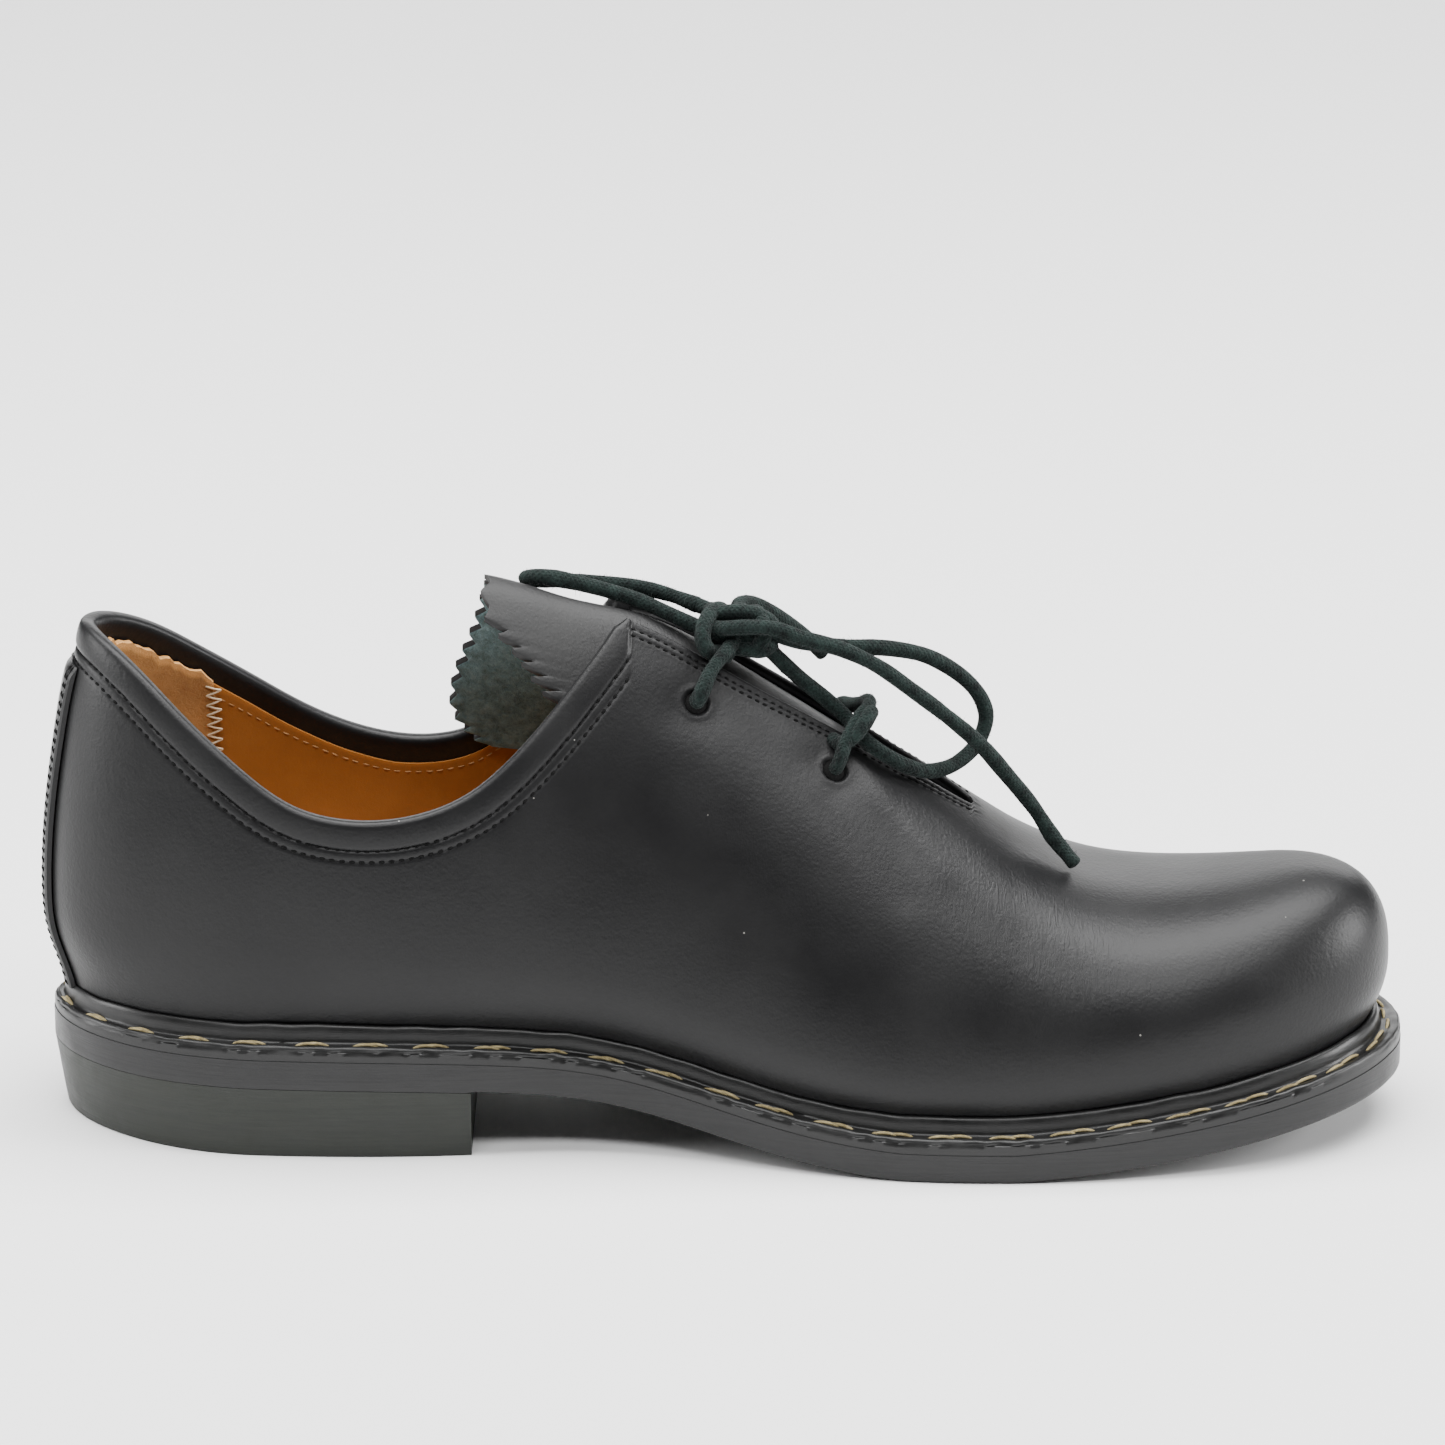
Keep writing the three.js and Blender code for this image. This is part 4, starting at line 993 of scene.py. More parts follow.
# Strands of the knot that wrap and fill it, and the short runs by which the laces go into it
KNOT_STRANDS = {
    "front_run": [
        (166.5, -8.3, 111.6), (162, -8.2, 113.2), (156, -7.9, 113.6), (150.5, -6.6, 112.9),
        (147.5, -4, 112.2)],
    "left_wrap": [
        (151.5, 3.5, 112.2), (149.6, 0.8, 114.8), (
            147.7, -3.2, 115.2), (146.1, -7.2, 113.2), (146, -8.7, 110.4),
        (147.6, -7.8, 107.9), (150.4, -4.8, 107.1), (153, -1.5, 107.5),
    ],
    "top_strand": [
        (
            147.6, -1.5,
            113.5), (149.8, -2.8, 115), (153.4, -3, 115.4), (157.4, -2.4, 114.7), (160.7, -1.4, 112.4),
        (160.6, 0.8, 109.8),
    ],
    "right_wrap": [
        (156, 4, 112), (157.3, 1.8, 113.9), (158.6, -2.8, 113.8), (159.3, -5.8, 111.4), (158.2, -6, 108.7),
        (155.8, -3.2, 107),
    ],
    "under_strand": [(150.4, -3.4, 107.6), (154.6, -6, 108), (158.6, -6, 107.6), (161.2, -3.6, 108)],
    "core": [(147.6, -2.2, 111), (152, -3.4, 111.6), (156, -3.2, 111.2), (160, -1.8, 110.4)],
    "second_core": [(148.4, -4.6, 111.2), (152.2, -4.4, 109.6), (156.4, -3.8, 109)],
    "near_run": [(150.6, -7.4, 106.4), (152.4, -5.6, 108.6), (154, -2.6, 110)],
    "far_run": [(151, 8.2, 105), (152.4, 5.2, 107.6), (154, 1.8, 109)],
    "rear_upper_run": [(142.5, 6.9, 114.7), (144.6, 6, 114.2), (148.5, 3.4, 113.4), (152, 1, 112.6)],
    "rear_lower_run": [(142, -0.6, 112.6), (144, -1, 111.8), (147.6, -1.9, 110.8), (151, -1.6, 110.6)],
    "front_upper_run": [(164, -3.5, 109.7), (161.7, -3, 110.4), (158.6, -2, 111.6), (155, -0.6, 112.4)],
    "front_lower_run": [
        (164.6, -4.3, 102.9), (162.6, -4, 105), (159.8, -3.6, 107.6), (156.4, -2.6, 109.6)],
    "back_run": [(153.3, 7.4, 112.8), (153, 6.1, 112.4), (153, 3, 111.8), (154, 0, 111.4)],
    "bar_wrap": [
        (
            174.4, -10.6,
            88.6), (176.4, -13.2, 88.6), (179.4, -14.4, 91.2), (181.9, -12.2, 94.2), (182.7, -8.6, 94.2),
        (181.5, -6.6, 91),
    ],
}
# Thickness of the knot's fuller strands, as a share of the lace's
KNOT_THICKNESS = dict(left_wrap=1.08, right_wrap=1.05, top_strand=1.08, core=1.45, second_core=1.3)


def make_knot():
    parts = []
    for name, points in KNOT_STRANDS.items():
        line = through(points)
        lace_lines[name] = line
        parts.append(tube(line, LACE_DIAMETER / 2 * KNOT_THICKNESS.get(name, 1.0)))
    points, faces = join([part[:2] for part in parts])
    uv = np.vstack([part[2].reshape(-1, 2) for part in parts])
    make_piece("knot_wraps", points, faces, LACE, "lace_cord", uv=uv)


def join(parts):
    """Several (points, faces) as one."""
    points, faces, start = [], [], 0
    for some_points, some_faces in parts:
        points.append(some_points)
        faces.append(some_faces + start)
        start += len(some_points)
    return np.vstack(points), np.vstack(faces)


make_knot()


def make_fuzz():
    """Short fibres that stand off the laces, each a slim four-faced needle."""
    chance = np.random.default_rng(21)
    points, faces = [], []
    for line in lace_lines.values():
        ways, sides, ups = carried_frames(line)
        count = int(len(line) * 4.2)
        at = chance.integers(0, len(line), count)
        phi = chance.uniform(0, 2 * math.pi, count)
        out = np.cos(phi)[:, None] * sides[at] + np.sin(phi)[:, None] * ups[at]
        root = line[at] + out * (LACE_DIAMETER / 2 - 0.12)
        lean = unit(
            out + ways[at] * chance.normal(0, 0.9, count)[:, None] + chance.normal(0, 0.35, (count, 3)))
        length = chance.uniform(0.35, 0.85, count) * (1 + 1.2 * (chance.random(count) > 0.94))
        side = unit(np.cross(lean, ways[at] + 0.01))
        other = np.cross(lean, side)
        width = 0.045
        corners = [
            root + side * width, root - side * width * 0.5 + other * width,
            root - side * width * 0.5 - other * width]
        needle = np.stack(corners + [root + lean * length[:, None]], 1)
        start = sum(len(p) for p in points)
        points.append(needle.reshape(-1, 3))
        base = start + np.arange(count)[:, None] * 4
        for shape in ((0, 2, 1), (0, 1, 3), (1, 2, 3), (2, 0, 3)):
            faces.append(base + np.array(shape))
    make_piece("lace_fuzz", np.vstack(points), np.vstack(faces), LACE, "lace_cord")


make_fuzz()


# Upper
def nearest_distance(points, line):
    """Distance from each point to the nearest stretch of a line."""
    shape = points.shape[:-1]
    flat = points.reshape(-1, 3)
    starts, spans = line[:-1], np.diff(line, axis=0)
    squares = np.maximum((spans**2).sum(1), 1e-12)
    best = np.full(len(flat), 1e9)
    for chunk in np.array_split(np.arange(len(flat)), max(1, len(flat) // 4000)):
        offset = flat[chunk, None] - starts[None]
        share = np.clip((offset * spans).sum(-1) / squares, 0, 1)
        best[chunk] = np.linalg.norm(offset - share[..., None] * spans, axis=-1).min(1)
    return best.reshape(shape)


def wall_profile(stations, inset, low_lift, samples=56):
    """Elevations up each station's wall with the distance run so far, from the welt to the top line."""
    low = rim_elevation(stations, inset, low_lift)
    high = top_elevation(stations, inset)
    angles = low[:, None] + (high - low)[:, None] * np.linspace(0, 1, samples)
    points = surface(column(stations), angles, inset)
    steps = np.linalg.norm(np.diff(points, axis=1), axis=2)
    run = np.concatenate([np.zeros((len(low), 1)), np.cumsum(steps, 1)], 1)
    return angles, run


def wall_points(stations, inset, wanted, run, angles):
    """Surface points at the wanted distances up each station's wall."""
    elevation = np.array([np.interp(w, r, a) for w, r, a in zip(wanted, run, angles)])
    return surface(column(stations), elevation, inset)


def wall_grid(stations, inset, low_lift, near, rest):
    """Surface points at the near distances below the top line, then rest even rows down to the welt."""
    angles, run = wall_profile(stations, inset, low_lift)
    total = run[:, -1:]
    near = np.minimum(near[None], total * 0.45)
    last = near[:, -1:]
    down = np.concatenate([near, last + (total - last) * np.arange(1, rest + 1) / rest], 1)
    return wall_points(stations, inset, total - down[:, ::-1], run, angles)


def wall_rows(stations, inset, low_lift, band, rows):
    """Surface points in even rows from the welt up to a band's width below the top line."""
    angles, run = wall_profile(stations, inset, low_lift)
    wanted = (run[:, -1:] - band) * np.linspace(0, 1, rows)[None]
    return wall_points(stations, inset, wanted, run, angles)


FINE_SPOTS = (
    (THROAT_BACK - 0.03, 14, 0.62),
    (THROAT_BACK - 0.008, 5, 0.32),
    (LACE_HOLES[0], 4.5, 0.36),
    (LACE_HOLES[1], 4.5, 0.36),
    (THROAT_FRONT - 0.005, 5, 0.5),
)
RING = full_ring(1.2, FINE_SPOTS)
EDGE_DISTANCES = np.concatenate([np.arange(0, 9, 0.42), np.arange(9, 17, 0.5)])
WALL_ROWS_BELOW = 42
IS_OPEN = along(RING.x) < THROAT_FRONT - CUT_MARGIN

# Soft forms pressed into the leather: a line of points on the last, its half width and its depth
SOFT_FORMS = [
    ([(176, -24, 81), (183, -30, 73), (190, -36, 63)], 4.2, 0.9),
    ([(170, -19, 88), (176, -19, 86)], 5.0, 0.5),
    ([(141, -19, 98), (148, -19, 97)], 5.5, 0.35),
    ([(181, -14, 84), (190, -22, 76), (197, -30, 66)], 5.0, -0.5),
    ([(216, -30, 48), (222, -33, 42), (226, -36, 37)], 5.0, 0.55),
    ([(259, -36, 30), (262, -36, 26)], 6.0, 0.45),
    ([(150, -34, 70), (165, -40, 58)], 12.0, 0.5),
    ([(129, 12, 110), (136, 10, 111)], 7.0, -2.0),
]


def soft_forms(points):
    depth = np.zeros(points.shape[:-1])
    for line, half_width, deep in SOFT_FORMS:
        distance = nearest_distance(points, resampled(np.array(line, float), 2.0))
        depth += deep * np.exp(-((distance / half_width) ** 2))
    return depth


def top_lines(outer, stations):
    """The collar's line and the two edges of the slit, each from back to front."""
    top = outer[:, -1]
    is_slit = IS_OPEN & (along(top[:, 0]) > THROAT_BACK - CORNER_REACH)
    is_slit &= np.abs(top[:, 1] - slit_y(top[:, 0])) < slit_gap(top[:, 0]) / 2 + 0.02
    sides = []
    for sign in (-1, 1):
        here = np.where(IS_OPEN & (stations.sign == sign))[0]
        here = here if sign < 0 else np.concatenate([[0], here[::-1]])
        first = next(k for k, i in enumerate(here) if is_slit[i])
        sides.append((here[:first + 1], here[first:]))
    return sides


def hole_depth(points):
    """A punched hole that the lace pulls into a soft dimple."""
    depth = np.zeros(points.shape[:-1])
    for share in LACE_HOLES:
        for offset in (-HOLE_OFFSET, HOLE_OFFSET):
            middle = beside_slit(share, offset, 0)
            reach = np.linalg.norm(points - middle, axis=-1)
            depth += 1.35 * (1 - smooth(HOLE_DIAMETER / 2 - 0.45, HOLE_DIAMETER / 2 + 0.35, reach))
            depth += 0.5 * np.exp(-((reach / 6.5) ** 2)) - 0.18 * np.exp(-(((reach - 3.3) / 0.8) ** 2))
    return depth


def collar_relief(distance):
    """Height of the rolled collar over the leather at a distance from its edge."""
    roll = COLLAR_ROLL_PROUD * np.sqrt(np.clip(1 - (distance / COLLAR_ROLL_WIDTH) ** 2, 0, 1))
    band = 0.14 * smooth(4.5, 5.1, distance) * (1 - smooth(6.6, 7.2, distance))
    rows = sum(0.28 * np.exp(-(((distance - row) / 0.38) ** 2)) for row in COLLAR_ROWS)
    return roll + band - rows


def facing_relief(distance):
    """Edge of the facing beside the slit: two layers, sewn down by two rows."""
    rows = sum(0.22 * np.exp(-(((distance - row) / 0.34) ** 2)) for row in FACING_ROWS)
    return 0.2 * (1 - smooth(2.6, 4.4, distance)) - rows


class Upper:
    """The upper's outer surface, with the lines that the other pieces follow."""

    def __init__(self):
        base = wall_grid(RING, 0.0, WALL_FOOT, EDGE_DISTANCES, WALL_ROWS_BELOW)
        normals = grid_normals(base, base - spine(RING.x)[:, None])
        normals[:, -1] = normals[:, -2]
        sides = top_lines(base, RING)
        self.sides = sides
        top = base[:, -1]
        collar = np.vstack([top[sides[0][0]][::-1], top[sides[1][0]][1:]])
        self.from_collar = nearest_distance(base, collar)
        self.from_slit = np.full(base.shape[:2], 1e9)
        for sign, (_, slit) in zip((-1, 1), sides):
            here = RING.sign == sign
            self.from_slit[here] = nearest_distance(base[here], top[slit])
        self.corner_x = float(np.mean([top[slit[0], 0] for _, slit in sides]))
        relief = collar_relief(self.from_collar) * (1 - smooth(0, 1.0, base[..., 0] - self.corner_x))
        relief = relief + np.where(self.from_slit < 8, facing_relief(self.from_slit), 0)
        self.wrinkled = self.wrinkle_mask(base)
        depth = soft_forms(base) + hole_depth(base)
        self.normals = normals
        self.points = base + normals * (relief - depth)[..., None]

    @staticmethod
    def wrinkle_mask(points):
        """Where the vamp and the quarter show fine wrinkles: (centre, reach, strength)."""
        mask = np.full(points.shape[:-1], 0.04)
        for centre, reach, strength in (
            ((222, -34, 42), 17, 0.85),
            ((205, -30, 58), 12, 0.5),
            ((225, 20, 50), 22, 0.6),
            ((152, -30, 80), 16, 0.25),
        ):
            mask += strength * np.exp(-(np.linalg.norm(points - centre, axis=-1) / reach) ** 2)
        return mask

    def edge_line(self, which, side, distance):
        """Points and normals on the leather at a distance from the collar's edge or the slit's edge."""
        field = self.from_collar if which == "collar" else self.from_slit
        stations = self.sides[side][0 if which == "collar" else 1]
        points, normals = [], []
        for i in stations:
            row = field[i]
            past = np.where(row >= distance)[0]
            past = past[past < len(row) - 1]
            if not len(past) or row[-1] > distance:
                continue
            j = past[-1]
            share = (row[j] - distance) / max(row[j] - row[j + 1], 1e-9)
            if share > 1:
                continue
            points.append(self.points[i, j] * (1 - share) + self.points[i, j + 1] * share)
            normals.append(self.normals[i, j])
        return np.array(points), np.array(normals)


shell = Upper()


def cap_rows(outer_top, outer_below, inner_top, is_open, bead, steps=9):
    """Rounds the edge between the two surfaces: a bead on the collar, two cut layers beside the slit."""
    tangent = unit(np.roll(outer_top, -1, 0) - np.roll(outer_top, 1, 0))
    across = outer_top - inner_top
    half = np.linalg.norm(across, axis=1) / 2
    across = unit(across)
    up = unit(np.cross(tangent, across))
    up *= np.where(np.sum(up * (outer_top - outer_below), 1, keepdims=True) < 0, -1, 1)
    centre = (outer_top + inner_top) / 2
    rows = []
    for k in range(1, steps + 1):
        phi = math.pi * k / (steps + 1)
        power = 0.8
        cos, sin = math.cos(phi), math.sin(phi)
        outwards = np.sign(cos) * abs(cos) ** power
        rise = abs(sin) ** power * (0.5 + 0.5 * bead) - (1 - bead) * 0.3 * math.exp(
            -(((phi - math.pi / 2) / 0.3) ** 2))
        arch = centre + across * (half * outwards)[:, None] + up * (half * rise)[:, None]
        flat = outer_top + (inner_top - outer_top) * k / (steps + 1)
        rows.append(np.where(is_open[:, None], arch, flat))
    return np.stack(rows, 1)


def ring_faces(loops, edge_row, past_edge, is_open):
    """Faces of the sections all round, without those of the edge rows where the two sides are one."""
    faces = grid_faces(*loops.shape[:2], True, True)
    station, row = np.divmod(faces[:, 0], loops.shape[1])
    is_edge = (row >= edge_row) & (row < past_edge)
    is_shut = ~is_open[station] & ~is_open[(station + 1) % len(loops)]
    return faces[~(is_edge & is_shut)]


def make_upper():
    """Outer leather, its edge, and the black band that is turned in behind the collar."""
    outer = shell.points
    inner_rows = np.concatenate([np.arange(0, 12, 1.3), [14]])
    inner = wall_grid(RING, UPPER_THICKNESS, WALL_FOOT, inner_rows, 9)
    inwards = grid_normals(inner, spine(RING.x)[:, None] - inner)
    bead = (1 - smooth(shell.corner_x - 0.5, shell.corner_x + 1.2, outer[:, -1, 0])) * IS_OPEN
    distance = nearest_distance(inner, outer[np.where(IS_OPEN)[0], -1])
    inner = inner + inwards * (
        bead[:, None] * 0.5 * np.sqrt(np.clip(1 - (distance / 6.5) ** 2, 0, 1)))[..., None]
    cap = cap_rows(outer[:, -1], outer[:, -4], inner[:, -1], IS_OPEN, bead)
    loops = np.concatenate([outer, cap, inner[:, ::-1]], 1)
    faces = ring_faces(loops, outer.shape[1] - 1, outer.shape[1] + cap.shape[1], IS_OPEN)
    blank = np.zeros((len(loops), loops.shape[1] - outer.shape[1]))
    wrinkled = np.concatenate([shell.wrinkled, blank], 1)
    make_piece(
        "upper_leather", loops.reshape(-1, 3), faces, UPPER_LEATHER, "upper_leather", ("upper",), sharp=50,
        wrinkled=wrinkled, worn=np.zeros(wrinkled.shape))


make_upper()


def make_hole_shade_discs():
    """Painted shade for each lace hole: a small black disc below the leather's face stands in for the dark
    inside of the hole.
    """
    parts = []
    for share in LACE_HOLES:
        for offset in (-HOLE_OFFSET, HOLE_OFFSET):
            low, high = (beside_slit(share, offset, lift) for lift in (-1.95, -1.45))
            parts.append(tube(np.linspace(low, high, 3), HOLE_DIAMETER / 2 + 0.25, 32)[:2])
    # The discs are painted shade, not a part of the shoe.
    make_piece("lace_hole_painted_shade", *join(parts), BLACK_THREAD_AND_SHADE, "upper_leather")


make_hole_shade_discs()


def make_lining():
    """Tan lining, sewn over the black band: it starts below the collar and goes down to the footbed."""
    ring = full_ring(2.2, ((THROAT_BACK, 8, 0.6),))
    is_open = along(ring.x) < THROAT_FRONT - CUT_MARGIN
    ragged = wavy(len(ring.x), 3, 0.16, np.random.default_rng(5))
    band = np.where(is_open, INNER_BAND_WIDTH + ragged, 0)[:, None]
    back, front = (
        wall_rows(
            ring, LINING_INSET + thickness, LINING_FOOT, band, 42) for thickness in (0, LINING_THICKNESS))
    loops = np.concatenate([front, back[:, ::-1]], 1)
    faces = ring_faces(loops, front.shape[1] - 1, front.shape[1], is_open)
    worn = np.zeros(loops.shape[:2])
    worn[:, front.shape[1] - 1:front.shape[1] + 1] = 0.8
    make_piece(
        "quarter_lining", loops.reshape(-1, 3), faces, LINING, "insole_leather", sharp=60, worn=worn)
    return ring, front


lining_ring, lining_front = make_lining()


def make_heel_grip():
    """Rough leather inside the heel, with a ragged top edge, lapped over the lining."""
    ring = full_ring(1.1)
    turn = ring.sign * (100 * (math.pi - ring.angle) + ring.x)
    turn = np.where(np.abs(turn) < 38, 0, turn)
    order = [i for i in np.argsort(turn) if ring.x[i] <= GRIP_FRONT or ring.angle[i] > math.pi / 2 + 0.01]
    ring = Stations(*(v[order] for v in ring))
    ragged = wavy(len(ring.x), 2, 0.55, np.random.default_rng(12))
    band = INNER_BAND_WIDTH - GRIP_LAP + ragged[:, None]
    inset = LINING_INSET + LINING_THICKNESS + 0.05
    back, front = (
        wall_rows(ring, inset + thickness, LINING_FOOT, band, 70) for thickness in (0, GRIP_THICKNESS))
    points, faces = sheet(front, back)
    worn = np.zeros((2, *front.shape[:2]))
    worn[:, :, -2:] = 0.7
    make_piece("heel_grip", points, faces, GRIP, "insole_leather", sharp=60, worn=worn)
    return front


def sheet(front, back):
    """Points and faces of a closed sheet between two grids."""
    rows, columns = front.shape[:2]
    count = rows * columns
    grid = np.arange(count).reshape(rows, columns)
    faces = [grid_faces(rows, columns), grid_faces(rows, columns, start=count)]
    for line in (grid[0], grid[-1], grid[:, 0], grid[:, -1]):
        other = line + count
        faces.append(np.stack([line[:-1], line[1:], other[1:], other[:-1]], -1))
    return np.concatenate([front.reshape(-1, 3), back.reshape(-1, 3)]), np.vstack(faces)


heel_grip = make_heel_grip()


# Stitches
def stitch_meshes(line, normals, pitch, length, width, slant=0.0, sink=0.12, seed=0, proud=0.3):
    """Short threads laid along a line on the leather, each bowed with its ends sunk into their holes."""
    run = run_along(line)
    count = max(1, int(run[-1] / pitch))
    at = (np.arange(count) + 0.5) * run[-1] / count
    chance = np.random.default_rng(seed)
    at = at + chance.normal(0, pitch * 0.025, count)

    def sample(values, where):
        return np.stack([np.interp(where, run, values[:, k]) for k in range(3)], -1)

    centre, normal = sample(line, at), unit(sample(normals, at))
    way = unit(sample(line, at + length / 2) - sample(line, at - length / 2))
    side = np.cross(normal, way)
    turn = slant + chance.normal(0, 0.05, count)
    way, side = (
        way * np.cos(turn)[:, None] + side * np.sin(turn)[:, None],
        side * np.cos(turn)[:, None] - way * np.sin(turn)[:, None],
    )
    rings, around = 7, 8
    share = np.linspace(-1, 1, rings)
    thick = np.sqrt(np.clip(1 - (np.abs(share) * 0.97) ** 3, 0.02, 1))
    bow = (1 - share**2) * (sink + proud * width) - sink
    phi = np.arange(around) * 2 * math.pi / around
    points = (
        centre[:, None, None]
        + way[:, None, None] * (share * length / 2)[None, :, None, None]
        + normal[:, None, None] * bow[None, :, None, None]
        + side[:, None, None] * (
            np.cos(phi)[None, None, :, None] * (thick * width / 2)[None, :, None, None])
        + normal[:, None, None] * (
            np.sin(phi)[None, None, :, None] * (thick * width / 2)[None, :, None, None])
    )
    faces = [grid_faces(rings, around, wrap_columns=True, start=k * rings * around) for k in range(count)]
    return points.reshape(-1, 3), np.vstack(faces)


def make_collar_stitches():
    parts = []
    for side in (0, 1):
        for seed, row in enumerate(COLLAR_ROWS):
            line, normals = shell.edge_line("collar", side, row)
            seed_here = seed + 10 * side
            parts.append(stitch_meshes(line, normals, COLLAR_STITCH_PITCH, 1.5, 0.72, 0.1, 0.2, seed_here, 0.0))
        for seed, row in enumerate(FACING_ROWS):
            line, normals = shell.edge_line("slit", side, row)
            parts.append(
                stitch_meshes(line, normals, 1.9, 1.35, 0.62, 0.1, 0.2, seed + 40 + 10 * side, 0.0))
    make_piece("collar_and_facing_stitches", *join(parts), BLACK_THREAD_AND_SHADE, "upper_leather")


make_collar_stitches()


def make_inner_stitches():
    """The row that holds the lining's edge, and the whip stitch that joins the heel grip to it."""
    parts = []
    row = lining_front.shape[1] - 3
    for sign in (-1, 1):
        here = np.where((along(lining_ring.x) < THROAT_BACK - 0.03) & (lining_ring.sign == sign))[0]
        line = lining_front[here, row]
        inwards = unit(np.stack([0 * line[:, 0], -line[:, 1], 0 * line[:, 0]], -1) + (0, 0, 0.2))
        parts.append(stitch_meshes(line, inwards, 2.4, 1.7, 0.4, seed=60 + sign))
    make_piece("lining_stitches", *join(parts), TAN_THREAD, "insole_leather")
    zigzag = []
    for edge in (heel_grip[0], heel_grip[-1]):
        top = edge[::-1]
        run = run_along(top)
        for k in range(WHIP_COUNT):
            ends = []
            side = 1 if k % 2 else -1
            for at, reach in ((k, side * WHIP_REACH), (k + 1, -side * WHIP_REACH)):
                p = np.array([np.interp(at * WHIP_PITCH + 1.0, run, top[:, j]) for j in range(3)])
                inwards = np.array([0.0, -np.sign(p[1]), 0.0])
                ends.append(p + inwards * (0.35 if reach < 0 else -0.45) + (reach, 0, 0))
            middle = (ends[0] + ends[1]) / 2 + inwards * 0.35
            zigzag.append(tube(through([ends[0], middle, ends[1]], 0.4), 0.26, 8, 2)[:2])
    make_piece("grip_whip_stitch", *join(zigzag), PALE_THREAD, "insole_leather")


make_inner_stitches()


# Welt, sole and heel
def welt_profile(width):
    """Outward and height pairs round the welt's section: smooth edge, rough lip, stitched groove, rib."""
    lip = width - 0.16
    return np.array([
        (0.3, 0.0), (lip, 0.0), (lip + 0.02, 1.2), (lip, 2.15), (lip - 0.22, 2.3), (lip - 0.2, 2.75),
        (lip - 0.4, 3.2), (lip - 0.85, 3.4), (
            0.74 * width, 3.35), (0.68 * width, 3.15), (0.61 * width, 3.1),
        (
            0.52 * width,
            3.12), (0.45 * width, 3.2), (0.4 * width, 3.5), (0.375 * width, 4.2), (0.36 * width, 5.0),
        (
            0.34 * width,
            5.8), (0.3 * width, 6.5), (0.25 * width, 6.9), (0.19 * width, 7.1), (0.12 * width, 7.0),
        (0.08 * width, 6.7), (0.03, 6.2), (0.0, 3.0),
    ])


def make_welt():
    ring = full_ring(1.1)
    width = welt_width(ring)
    chance = np.random.default_rng(9)
    rough = wavy(len(width), 5, 1.0, chance)
    nicks = wavy(len(width), 2, 1.0, chance)
    loops = []
    for k in range(len(welt_profile(6.0))):
        outward, height = np.array([welt_profile(w)[k] for w in width]).T
        is_rib, is_lip = 13 <= k <= 21, 4 <= k <= 9
        outward = outward + (0.06 * rough if is_rib else 0) + (0.1 * np.roll(nicks, k) if is_lip else 0)
        height = height + (0.1 * np.roll(rough, 7) if is_rib else 0) + (
            0.08 * np.roll(nicks, 3) if is_lip else 0)
        p = footprint(ring, outward)
        p[:, 2] = sole_top(p[:, 0]) + height
        loops.append(p)
    loops = np.stack(loops, 1)
    worn = np.zeros(loops.shape[:2])
    worn[:, 5:7] = np.clip(0.1 + 0.3 * nicks, 0, 0.7)[:, None]
    faces = grid_faces(*loops.shape[:2], True, True)
    make_piece(
        "storm_welt", loops.reshape(-1, 3), faces, WELT_FINISH, "welt_leather", ("welt",), sharp=55,
        worn=worn)
    groove = footprint(ring, 0.56 * width)
    groove[:, 2] = sole_top(groove[:, 0]) + 3.2
    return groove


def make_welt_stitches(groove):
    closed = np.vstack([groove, groove[:1]])
    ups = np.tile((0.0, 0.0, 1.0), (len(closed), 1))
    middle = np.stack([np.full(len(closed), 150.0), np.zeros(len(closed)), closed[:, 2]], -1)
    normals = unit(ups + 0.35 * unit(closed - middle))
    parts = []
    for seed, offset in enumerate((-0.32, 0.32)):
        side = unit(closed - middle) * offset
        parts.append(stitch_meshes(
            closed + side, normals, WELT_STITCH_PITCH, WELT_STITCH_LENGTH, 0.8, 0.05 * np.sign(
                offset), 0.45, 33, 0.35))
    make_piece("welt_stitches", *join(parts), CREAM_THREAD, "welt_leather")


make_welt_stitches(make_welt())


def slab(outline_of, high, low, stations, bevel_top, bevel_low, taper=None):
    """A plate between the inner and outer outline, with softened edges. Rows go round its section."""
    loops = []
    shares = np.linspace(0, 1, 14)
    medial, lateral = (
        Stations(stations[0], stations[1], np.full(len(stations[0]), s)) for s in (-1.0, 1.0))

    def edge(side, inset, height_of):
        p = outline_of(side, inset)
        p[:, 2] = height_of(p[:, 0])
        return p

    def section(side):
        rows = []
        for inset, lift in ((1.0, 0.0), (0.3, -0.05), (0.0, -bevel_top)):
            rows.append(edge(side, inset, lambda x, lift=lift: high(x) + lift))
        for share in (0.25, 0.5, 0.75):
            inset = taper * share if taper else 0.0
            rows.append(edge(side, inset, lambda x, share=share: high(x) + (low(x) - high(x)) * share))
        base = taper or 0.0
        cut = bevel_low(side.x)
        for inset, lift in ((0.0, 1.0), (0.3, 0.3), (1.0, 0.0)):
            rows.append(edge(side, base + inset * cut, lambda x, lift=lift: low(x) + lift * cut))
        return rows

    inner_side, outer_side = section(medial), section(lateral)
    for share in shares[1:-1]:
        loops.append(outer_side[0] * (1 - share) + inner_side[0] * share)
    loops += inner_side
    for share in shares[1:-1]:
        loops.append(inner_side[-1] * (1 - share) + outer_side[-1] * share)
    loops += outer_side[::-1]
    loops = np.stack(loops, 1)
    for k in (*range(12), *range(21, 33)):
        loops[:, k, 2] = (high if k < 12 else low)(loops[:, k, 0])
    return loops


def make_slab(name, loops, material, slot, replaced, sharp):
    faces = grid_faces(*loops.shape[:2], False, True)
    worn = np.zeros(loops.shape[:2])
    make_piece(name, loops.reshape(-1, 3), faces, material, slot, (replaced,), sharp=sharp, worn=worn)


